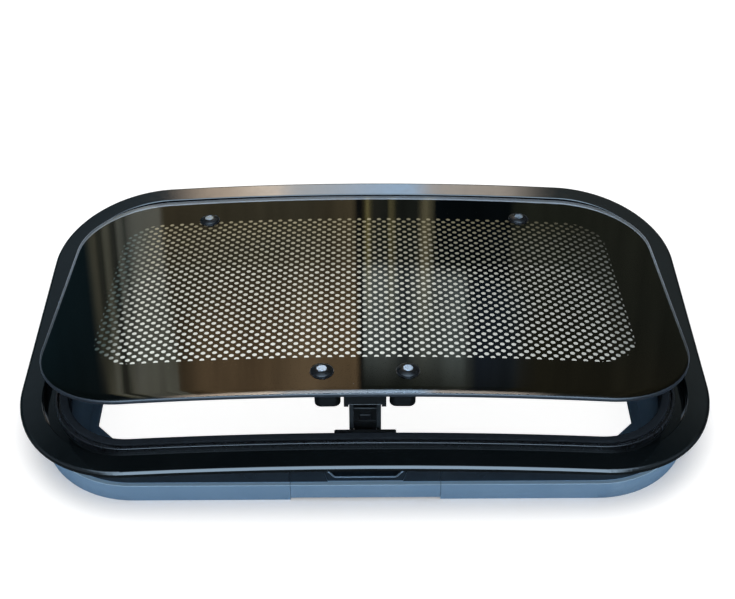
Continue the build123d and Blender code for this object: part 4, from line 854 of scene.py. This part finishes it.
def turned_piece(name, outline, place, seat):
    """Round piece turned about the glass's own upright at a stud, from (radius, height) points."""
    x, y = place
    tilt = math.asin(x / CROWN_RADIUS)
    across = Vector((math.cos(tilt), 0.0, -math.sin(tilt)))
    upright = Vector((math.sin(tilt), 0.0, math.cos(tilt)))
    foot = Vector((x, y, crown_height(x, 0.0))) + upright * seat
    points = []
    for radius, height in outline:
        for step in range(TURN_STEPS):
            turn = 2 * math.pi * step / TURN_STEPS
            spot = foot + across * radius * math.cos(turn) + upright * height
            points.append((spot.x, spot.y + radius * math.sin(turn), spot.z))
    faces = []
    for level in range(len(outline) - 1):
        for step in range(TURN_STEPS):
            after = (step + 1) % TURN_STEPS
            low = level * TURN_STEPS
            faces.append((low + step, low + after, low + TURN_STEPS + after, low + TURN_STEPS + step))
    faces.append(tuple(reversed(range(TURN_STEPS))))
    top = (len(outline) - 1) * TURN_STEPS
    faces.append(tuple(range(top, top + TURN_STEPS)))
    return make_piece(name, [swung_open(point) for point in points], faces)


def cap_outline():
    """Foot, small rim, shallow dome and the dished middle that the stud head lies in."""
    outline = list(CAP_FOOT)
    for step in range(1, CAP_DOME_STEPS + 1):
        radius = CAP_SHOULDER - (CAP_SHOULDER - CAP_FLAT) * step / CAP_DOME_STEPS
        height = CAP_TOP - CAP_DOME + math.sqrt(CAP_DOME**2 - radius**2)
        outline.append((radius, height))
    flat = outline[-1][1]
    lip = CAP_FLAT - CAP_LIP
    outline.append((CAP_FLAT - CAP_LIP_ROUND, flat - CAP_LIP_ROUND / 10))
    outline.append((lip + CAP_LIP_ROUND / 2, flat - CAP_LIP_ROUND))
    outline.append((lip, flat - CAP_LIP_DEPTH))
    outline.append((lip, CAP_HEAD_SEAT))
    outline.append((CAP_DISH_MIDDLE, CAP_HEAD_SEAT))
    return outline


cap_moulding = moulded_finish(
    "cap_moulding",
    colour=(0.0025, 0.003, 0.0035),
    shade=(0.0045, 0.005, 0.006),
    roughness=(0.24, 0.36),
    grain=0.8,
    relief=0.006,
    mirror=0.25,
)
caps = []
for number, place in enumerate(STUD_PLACES):
    cap = turned_piece(f"washer_cap_{number + 1}", cap_outline(), place, CAP_SEAT)
    crease(cap, CAP_CREASE)
    dress(cap, cap_moulding)
    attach(cap, "glass")
    caps.append(cap)
for cap in caps:
    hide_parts("washer_caps")
dress_node("cap_gaskets", seal_rubber)

# Studs: turned steel, polished flat heads with fine turning marks, threaded below the glass.
# The hinges' nuts and pins are turned from the same steel.
STUD_EDGE = 0.6
stud_steel = bare_metal_finish(
    "stud_steel",
    colour=(0.34, 0.43, 0.55),
    shade=(0.44, 0.54, 0.67),
    cloud=2.0,
    roughness=(0.22, 0.42),
    blotch=1.2,
    detail=5.0,
    grain=0.35,
    relief=0.006,
)
ease_edges(dress_node("glass_studs", stud_steel), STUD_EDGE)
for name in ("hinge_nuts", "hinge_pin_left", "hinge_pin_right"):
    dress_node(name, stud_steel)

# Hinges: goose-neck arms under the glass on rubber pads, and their bases under the pan.
# Pressed and bent steel, powder coated black; pins and nuts are plain steel.
ARM_EDGE = 0.5
HINGE_BASE_EDGE = 0.3
powder_black = moulded_finish(
    "powder_black",
    colour=(0.012, 0.012, 0.014),
    shade=(0.02, 0.02, 0.023),
    roughness=(0.4, 0.6),
    grain=0.8,
    relief=0.03,
    wear=0.4,
    worn=(0.16, 0.16, 0.17),
)
for side in ("left", "right"):
    ease_edges(dress_node("hinge_arm_" + side, powder_black), ARM_EDGE)
    ease_edges(dress_node("hinge_base_" + side, powder_black), HINGE_BASE_EDGE)
    dress_node("hinge_pad_" + side, seal_rubber)
dress_node("hinge_base_screws", zinc_plate)

# Latch: bracket and knobs ride under the glass, the base sits on the trim's cove, and lever and
# link stand in line between them. Satin black mouldings on plain steel pins, with a worn strip
# along the bracket's edge and a thin shim on each side of the lever.
LATCH_EDGE = 0.4
LEVER_EDGE = 0.2
STRIP_Y = -188.6
STRIP_Z = 42.9
STRIP_HALF = 18.2
STRIP_RADIUS = 0.42
STRIP_STEPS = 8
SHIM_INNER = 12.5
SHIM_OUTER = 12.76
SHIM_FRONT = -184.1
SHIM_BACK = -176.6
SHIM_BOTTOM = 40.0
SHIM_TOP = 102.2
latch_satin = moulded_finish(
    "latch_satin",
    colour=(0.003, 0.0035, 0.004),
    shade=(0.005, 0.006, 0.0065),
    roughness=(0.32, 0.46),
    grain=0.5,
    relief=0.012,
    wear=0.35,
    worn=(0.09, 0.095, 0.1),
    mirror=0.12,
)
for name in ("latch_bracket", "latch_base", "knob_left", "knob_right"):
    ease_edges(dress_node(name, latch_satin), LATCH_EDGE)
for name in ("latch_lever", "latch_link"):
    ease_edges(dress_node(name, latch_satin), LEVER_EDGE)
ease_edges(dress_node("release_button", cap_moulding), LEVER_EDGE)
dress_node("bracket_pad", seal_rubber)
for name in ("link_pin", "base_pin", "lever_pin"):
    dress_node(name, stud_steel)
strip_path = []
for step in range(-STRIP_STEPS, STRIP_STEPS + 1):
    strip_path.append((step * STRIP_HALF / STRIP_STEPS, STRIP_Y, STRIP_Z))
bracket_strip = bar_piece("bracket_strip", strip_path, STRIP_RADIUS, swung_open)
worn_black = moulded_finish(
    "worn_black",
    colour=(0.035, 0.04, 0.045),
    shade=(0.05, 0.056, 0.062),
    roughness=(0.4, 0.55),
    grain=0.4,
    relief=0.004,
    wear=0.0,
)
dress(bracket_strip, worn_black)
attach(bracket_strip, "glass")
shim_outline = [
    (SHIM_FRONT, SHIM_BOTTOM),
    (SHIM_BACK, SHIM_BOTTOM),
    (SHIM_BACK, SHIM_TOP),
    (SHIM_FRONT, SHIM_TOP),
]
for name, side in (("lever_shim_left", -1), ("lever_shim_right", 1)):
    shim_points = [(side * x, y, z) for x in (SHIM_INNER, SHIM_OUTER) for y, z in shim_outline]
    shim_faces = [(0, 3, 2, 1), (4, 5, 6, 7), (0, 1, 5, 4), (1, 2, 6, 5), (2, 3, 7, 6), (3, 0, 4, 7)]
    if side < 0:
        shim_faces = [tuple(reversed(face)) for face in shim_faces]
    shim = make_piece(name, shim_points, shim_faces)
    dress(shim, latch_satin)
    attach(shim, "lever")
dress_node("latch_base_screws", zinc_plate)

# Studio floor: a plain white sheet on which the sunroof lies, with its own soft shadow. The
# camera sees it brighter inside the roof opening and pure white far away, while the gloss of
# the sunroof mirrors it as a dull dark sheet.
FLOOR_HALF = 3.0
FLOOR_CLOUD_SIZE = 400.0
FLOOR_WHITES = ((0.93, 0.93, 0.93), (0.95, 0.95, 0.95))
MIRRORED_FLOOR = (0.05, 0.06, 0.07, 1.0)
OPENING_REACH_X = 0.34
OPENING_REACH_Y = 0.20
OPEN_LIGHT = 0.80
FLOOR_LIGHT = 0.07
FAR_FLOOR_START = 0.9
FAR_FLOOR_END = 2.4
floor_corners = [
    (side_x * FLOOR_HALF, side_y * FLOOR_HALF, 0.0)
    for side_x, side_y in ((-1, -1), (1, -1), (1, 1), (-1, 1))
]
floor_mesh = bpy.data.meshes.new("studio_floor")
floor_mesh.from_pydata(floor_corners, [], [(0, 1, 2, 3)])
floor = bpy.data.objects.new("studio_floor", floor_mesh)
bpy.context.scene.collection.objects.link(floor)
floor_white, floor_tree, floor_shader = start_finish("floor_white")
floor_shader.inputs["Roughness"].default_value = 0.6
floor_shader.inputs["Specular IOR Level"].default_value = 0.0
floor_cloud = mottle(floor_tree, FLOOR_CLOUD_SIZE, detail=2.0)
floor_tree.links.new(blend_colours(floor_tree, floor_cloud, *FLOOR_WHITES), floor_shader.inputs["Base Color"])
floor_path = floor_tree.nodes.new("ShaderNodeLightPath")
floor_shape = floor_tree.nodes.new("ShaderNodeNewGeometry")
floor_place = split_vector(floor_tree, floor_shape.outputs["Position"])
inside = []
for axis, reach in (("X", OPENING_REACH_X), ("Y", OPENING_REACH_Y)):
    from_axis = arithmetic(floor_tree, "ABSOLUTE", floor_place[axis])
    inside.append(arithmetic(floor_tree, "LESS_THAN", from_axis, reach))
in_opening = arithmetic(floor_tree, "MULTIPLY", *inside)
open_light = arithmetic(floor_tree, "MULTIPLY", in_opening, OPEN_LIGHT)
near_light = arithmetic(floor_tree, "ADD", open_light, FLOOR_LIGHT)
from_middle = floor_tree.nodes.new("ShaderNodeVectorMath")
from_middle.operation = "LENGTH"
floor_tree.links.new(floor_shape.outputs["Position"], from_middle.inputs[0])
far_light = spread_value(floor_tree, from_middle.outputs["Value"], FAR_FLOOR_START, FAR_FLOOR_END)
floor_light = arithmetic(floor_tree, "ADD", near_light, far_light)
seen_light = arithmetic(floor_tree, "MULTIPLY", floor_path.outputs["Is Camera Ray"], floor_light)
floor_shader.inputs["Emission Color"].default_value = (1.0, 1.0, 1.0, 1.0)
floor_tree.links.new(seen_light, floor_shader.inputs["Emission Strength"])
floor_dull = floor_tree.nodes.new("ShaderNodeBsdfDiffuse")
floor_dull.inputs["Color"].default_value = MIRRORED_FLOOR
glossy_ray = floor_path.outputs["Is Glossy Ray"]
floor_choice = blend_shaders(floor_tree, glossy_ray, floor_shader.outputs[0], floor_dull.outputs[0])
floor_tree.links.new(floor_choice, floor_tree.nodes["Material Output"].inputs["Surface"])
floor.data.materials.append(floor_white)

# Studio light: an even white surround, a broad soft lamp overhead and two small lamps at the
# near corners. A room shows only as a soft mirror image in the gloss: warm and grey-green bands
# low down on the far side, a pale strip above them, a dark stretch and cool light overhead.
STUDIO_LEVEL = 0.72
HEADING_SHIFT = 0.5
STREAK_WIDTH_SCALE = 34.0
STREAK_HEIGHT_SCALE = 5.0
STREAK_GAIN = 1.3
STREAK_BASE = 0.35
NEAR_BANDS_RISE = (0.36, 0.46)
MIDDLE_RISE = (0.378, 0.395)
MIDDLE_FALL = (0.44, 0.478)
STRIP_RISE = (0.53, 0.58)
DARK_RISE = (0.64, 0.70)
DARK_STRETCH = (0.02, 0.032, 0.038)
OVERHEAD_RISE = (0.90, 0.96)
OVERHEAD_LIGHT = (2.2, 2.7, 3.3)
BEHIND_RISE = (-0.35, 0.1)
BEHIND_SIDES = (0.25, 0.6)
BEHIND_LIGHT = (6.0, 8.2, 10.5)
BEHIND_SIDE_LIGHT = (0.35, 0.45, 0.55)
SOFTBOX_LENGTH = 2.4
SOFTBOX_WIDTH = 1.6
SOFTBOX_POWER = 42.0
SOFTBOX_PLACE = (0.0, -0.3, 2.4)
FILL_SIZE = 0.9
FILL_POWER = 7.0
FILL_REACH = 1.3
FILL_HEIGHT = 0.32
FILL_AIM = Vector((0.0, 0.0, 0.03))
world = bpy.data.worlds.new("studio_surround")
bpy.context.scene.world = world
world.use_nodes = True
world.cycles.sampling_method = "NONE"
sky = world.node_tree
sky.nodes.clear()


def sky_ramp(value, stops):
    """Colours along a value, softly joined, from (share, colour) stops."""
    ramp = sky.nodes.new("ShaderNodeValToRGB")
    ramp.color_ramp.interpolation = "EASE"
    while len(ramp.color_ramp.elements) < len(stops):
        ramp.color_ramp.elements.new(0.5)
    for element, (position, colour) in zip(ramp.color_ramp.elements, stops):
        element.position = position
        element.color = (*colour, 1.0)
    sky.links.new(value, ramp.inputs[0])
    return ramp.outputs[0]


def sky_step(value, low, high):
    """Soft step of a value from 0 to 1 between two limits."""
    step = sky.nodes.new("ShaderNodeMapRange")
    step.interpolation_type = "SMOOTHSTEP"
    step.inputs["From Min"].default_value = low
    step.inputs["From Max"].default_value = high
    sky.links.new(value, step.inputs["Value"])
    return step.outputs["Result"]


def sky_scaled(colour, level):
    """Colour of the surround made brighter or darker by a level."""
    scaled = sky.nodes.new("ShaderNodeVectorMath")
    scaled.operation = "SCALE"
    sky.links.new(colour, scaled.inputs[0])
    sky.links.new(level, scaled.inputs["Scale"])
    return scaled.outputs[0]


# Straight toward the far side the heading is 0.5, and one radian of turn fills a ramp. A ramp's
# stops are a heading and the colour of the room there.
look = sky.nodes.new("ShaderNodeTexCoord")
parts = split_vector(sky, look.outputs["Generated"])
height = parts["Z"]
heading = arithmetic(sky, "ADD", arithmetic(sky, "ARCTAN2", parts["X"], parts["Y"]), HEADING_SHIFT)
streaks = sky.nodes.new("ShaderNodeTexNoise")
streaks.inputs["Scale"].default_value = 1.0
streaks.inputs["Detail"].default_value = 4.0
streak_place = sky.nodes.new("ShaderNodeCombineXYZ")
sky.links.new(arithmetic(sky, "MULTIPLY", heading, STREAK_WIDTH_SCALE), streak_place.inputs["X"])
sky.links.new(arithmetic(sky, "MULTIPLY", height, STREAK_HEIGHT_SCALE), streak_place.inputs["Y"])
sky.links.new(streak_place.outputs[0], streaks.inputs["Vector"])
streak_gain = arithmetic(sky, "MULTIPLY", streaks.outputs["Fac"], STREAK_GAIN)
streak_level = arithmetic(sky, "ADD", streak_gain, STREAK_BASE)
room_far = sky_ramp(heading, [
    (0.10, (0.035, 0.085, 0.11)),
    (0.172, (0.03, 0.065, 0.08)),
    (0.183, (0.42, 0.41, 0.29)),
    (0.190, (0.10, 0.11, 0.09)),
    (0.197, (0.62, 0.62, 0.46)),
    (0.206, (0.12, 0.13, 0.11)),
    (0.212, (0.74, 0.77, 0.64)),
    (0.219, (0.30, 0.32, 0.28)),
    (0.224, (0.68, 0.70, 0.60)),
    (0.258, (0.66, 0.66, 0.55)),
    (0.264, (0.24, 0.20, 0.12)),
    (0.42, (0.27, 0.24, 0.15)),
    (0.486, (0.40, 0.32, 0.18)),
    (0.492, (0.03, 0.03, 0.03)),
    (0.499, (0.04, 0.04, 0.03)),
    (0.503, (1.0, 0.86, 0.36)),
    (0.510, (0.12, 0.12, 0.09)),
    (0.527, (0.08, 0.09, 0.07)),
    (0.532, (0.62, 0.55, 0.26)),
    (0.540, (0.08, 0.09, 0.07)),
    (0.563, (0.08, 0.09, 0.07)),
    (0.573, (0.70, 0.62, 0.36)),
    (0.580, (0.40, 0.37, 0.22)),
    (0.585, (0.010, 0.017, 0.022)),
    (0.672, (0.012, 0.018, 0.022)),
    (0.680, (0.085, 0.095, 0.065)),
    (0.86, (0.105, 0.11, 0.08)),
    (1.0, (0.03, 0.03, 0.025)),
])
room_near = sky_ramp(heading, [
    (0.10, (0.025, 0.045, 0.050)),
    (0.181, (0.03, 0.045, 0.050)),
    (0.187, (0.55, 0.53, 0.36)),
    (0.197, (0.88, 0.88, 0.68)),
    (0.203, (0.16, 0.16, 0.12)),
    (0.209, (0.14, 0.14, 0.10)),
    (0.214, (0.72, 0.70, 0.52)),
    (0.220, (1.00, 0.99, 0.80)),
    (0.240, (0.92, 0.92, 0.72)),
    (0.249, (0.62, 0.61, 0.48)),
    (0.256, (0.92, 0.92, 0.72)),
    (0.265, (0.90, 0.90, 0.70)),
    (0.271, (0.50, 0.35, 0.19)),
    (0.31, (1.10, 0.74, 0.40)),
    (0.36, (0.90, 0.60, 0.32)),
    (0.43, (1.15, 0.80, 0.45)),
    (0.489, (1.00, 0.68, 0.36)),
    (0.495, (0.06, 0.06, 0.05)),
    (0.50, (0.09, 0.10, 0.075)),
    (0.56, (0.10, 0.11, 0.08)),
    (0.63, (0.22, 0.24, 0.19)),
    (0.642, (0.05, 0.06, 0.07)),
    (0.68, (0.06, 0.07, 0.07)),
    (0.70, (0.13, 0.115, 0.065)),
    (0.86, (0.12, 0.105, 0.06)),
    (1.0, (0.03, 0.03, 0.025)),
])
room_middle = sky_ramp(heading, [
    (0.495, (0.0, 0.0, 0.0)),
    (0.502, (0.62, 0.72, 0.70)),
    (0.535, (0.55, 0.62, 0.60)),
    (0.55, (0.16, 0.20, 0.24)),
    (0.565, (0.45, 0.50, 0.46)),
    (0.62, (0.50, 0.60, 0.60)),
    (0.632, (0.04, 0.06, 0.10)),
    (0.68, (0.04, 0.06, 0.09)),
    (0.72, (0.0, 0.0, 0.0)),
])
room_strip = sky_ramp(heading, [
    (0.20, (0.24, 0.32, 0.38)),
    (0.28, (5.6, 4.5, 3.5)),
    (0.36, (9.2, 7.8, 6.4)),
    (0.40, (5.6, 5.9, 6.2)),
    (0.57, (4.6, 6.4, 8.6)),
    (0.61, (5.2, 4.7, 4.2)),
    (0.70, (4.8, 4.2, 3.6)),
    (0.78, (0.24, 0.28, 0.28)),
])
middle_fall = arithmetic(sky, "SUBTRACT", 1.0, sky_step(height, *MIDDLE_FALL))
middle_share = arithmetic(sky, "MULTIPLY", sky_step(height, *MIDDLE_RISE), middle_fall)
bands = sky.nodes.new("ShaderNodeVectorMath")
bands.operation = "ADD"
room_low = blend_colours(sky, sky_step(height, *NEAR_BANDS_RISE), room_far, room_near)
sky.links.new(room_low, bands.inputs[0])
sky.links.new(sky_scaled(room_middle, middle_share), bands.inputs[1])
streaky = sky_scaled(bands.outputs[0], streak_level)
room = blend_colours(sky, sky_step(height, *STRIP_RISE), streaky, room_strip)
room = blend_colours(sky, sky_step(height, *DARK_RISE), room, DARK_STRETCH)
room = blend_colours(sky, sky_step(height, *OVERHEAD_RISE), room, OVERHEAD_LIGHT)
to_side = sky_step(arithmetic(sky, "ABSOLUTE", parts["X"]), *BEHIND_SIDES)
behind = blend_colours(sky, to_side, BEHIND_LIGHT, BEHIND_SIDE_LIGHT)
backward = arithmetic(sky, "MULTIPLY", parts["Y"], -1.0)
room = blend_colours(sky, sky_step(backward, *BEHIND_RISE), room, behind)
path = sky.nodes.new("ShaderNodeLightPath")
surround = blend_colours(sky, path.outputs["Is Glossy Ray"], (STUDIO_LEVEL,) * 3, room)
surround = blend_colours(sky, path.outputs["Is Camera Ray"], surround, (1.0, 1.0, 1.0))
background = sky.nodes.new("ShaderNodeBackground")
sky.links.new(surround, background.inputs["Color"])
sky_end = sky.nodes.new("ShaderNodeOutputWorld")
sky.links.new(background.outputs[0], sky_end.inputs["Surface"])


def hang_lamp(name, lamp_data, place):
    """Lamp that lights the sunroof but doesn't show in its gloss."""
    lamp = bpy.data.objects.new(name, lamp_data)
    lamp.location = place
    lamp.visible_glossy = False
    bpy.context.scene.collection.objects.link(lamp)
    return lamp


softbox_data = bpy.data.lights.new("overhead_softbox", "AREA")
softbox_data.shape = "RECTANGLE"
softbox_data.size = SOFTBOX_LENGTH
softbox_data.size_y = SOFTBOX_WIDTH
softbox_data.energy = SOFTBOX_POWER
hang_lamp("overhead_softbox", softbox_data, SOFTBOX_PLACE)
for fill_x in (-FILL_REACH, FILL_REACH):
    fill_data = bpy.data.lights.new("corner_fill", "AREA")
    fill_data.size = FILL_SIZE
    fill_data.energy = FILL_POWER
    fill = hang_lamp("corner_fill", fill_data, (fill_x, -FILL_REACH, FILL_HEIGHT))
    fill.rotation_euler = (FILL_AIM - fill.location).to_track_quat("-Z", "Y").to_euler()

# Camera: stands over the latch side and looks down at the sunroof, as in the photograph. Its
# focus in pixels, place, pitch and slight yaw and roll were worked out from the outlines.
CAMERA_FOCUS_PX = 1251.0
IMAGE_WIDTH_PX = 735.0
SENSOR_WIDTH = 36.0
CAMERA_SIGHT = 50.0
CAMERA_PLACE = (0.06, -1110.0, 1129.2)
CAMERA_PITCH = math.radians(43.0)
CAMERA_YAW = 0.00317
CAMERA_ROLL = -0.0030
camera_data = bpy.data.cameras.new("studio_camera")
camera_data.sensor_width = SENSOR_WIDTH
camera_data.lens = CAMERA_FOCUS_PX / IMAGE_WIDTH_PX * SENSOR_WIDTH
camera_data.clip_end = CAMERA_SIGHT
camera = bpy.data.objects.new("studio_camera", camera_data)
ahead = Vector((
    math.sin(CAMERA_YAW) * math.cos(CAMERA_PITCH),
    math.cos(CAMERA_YAW) * math.cos(CAMERA_PITCH),
    -math.sin(CAMERA_PITCH),
))
level = Vector((math.cos(CAMERA_YAW), -math.sin(CAMERA_YAW), 0.0))
above = level.cross(ahead)
image_right = level * math.cos(CAMERA_ROLL) + above * math.sin(CAMERA_ROLL)
image_up = above * math.cos(CAMERA_ROLL) - level * math.sin(CAMERA_ROLL)
axes = Matrix((image_right, image_up, -ahead)).transposed()
camera.matrix_world = Matrix.Translation([value * MM for value in CAMERA_PLACE]) @ axes.to_4x4()
bpy.context.scene.collection.objects.link(camera)
bpy.context.scene.camera = camera
bpy.context.scene.view_settings.view_transform = "Standard"
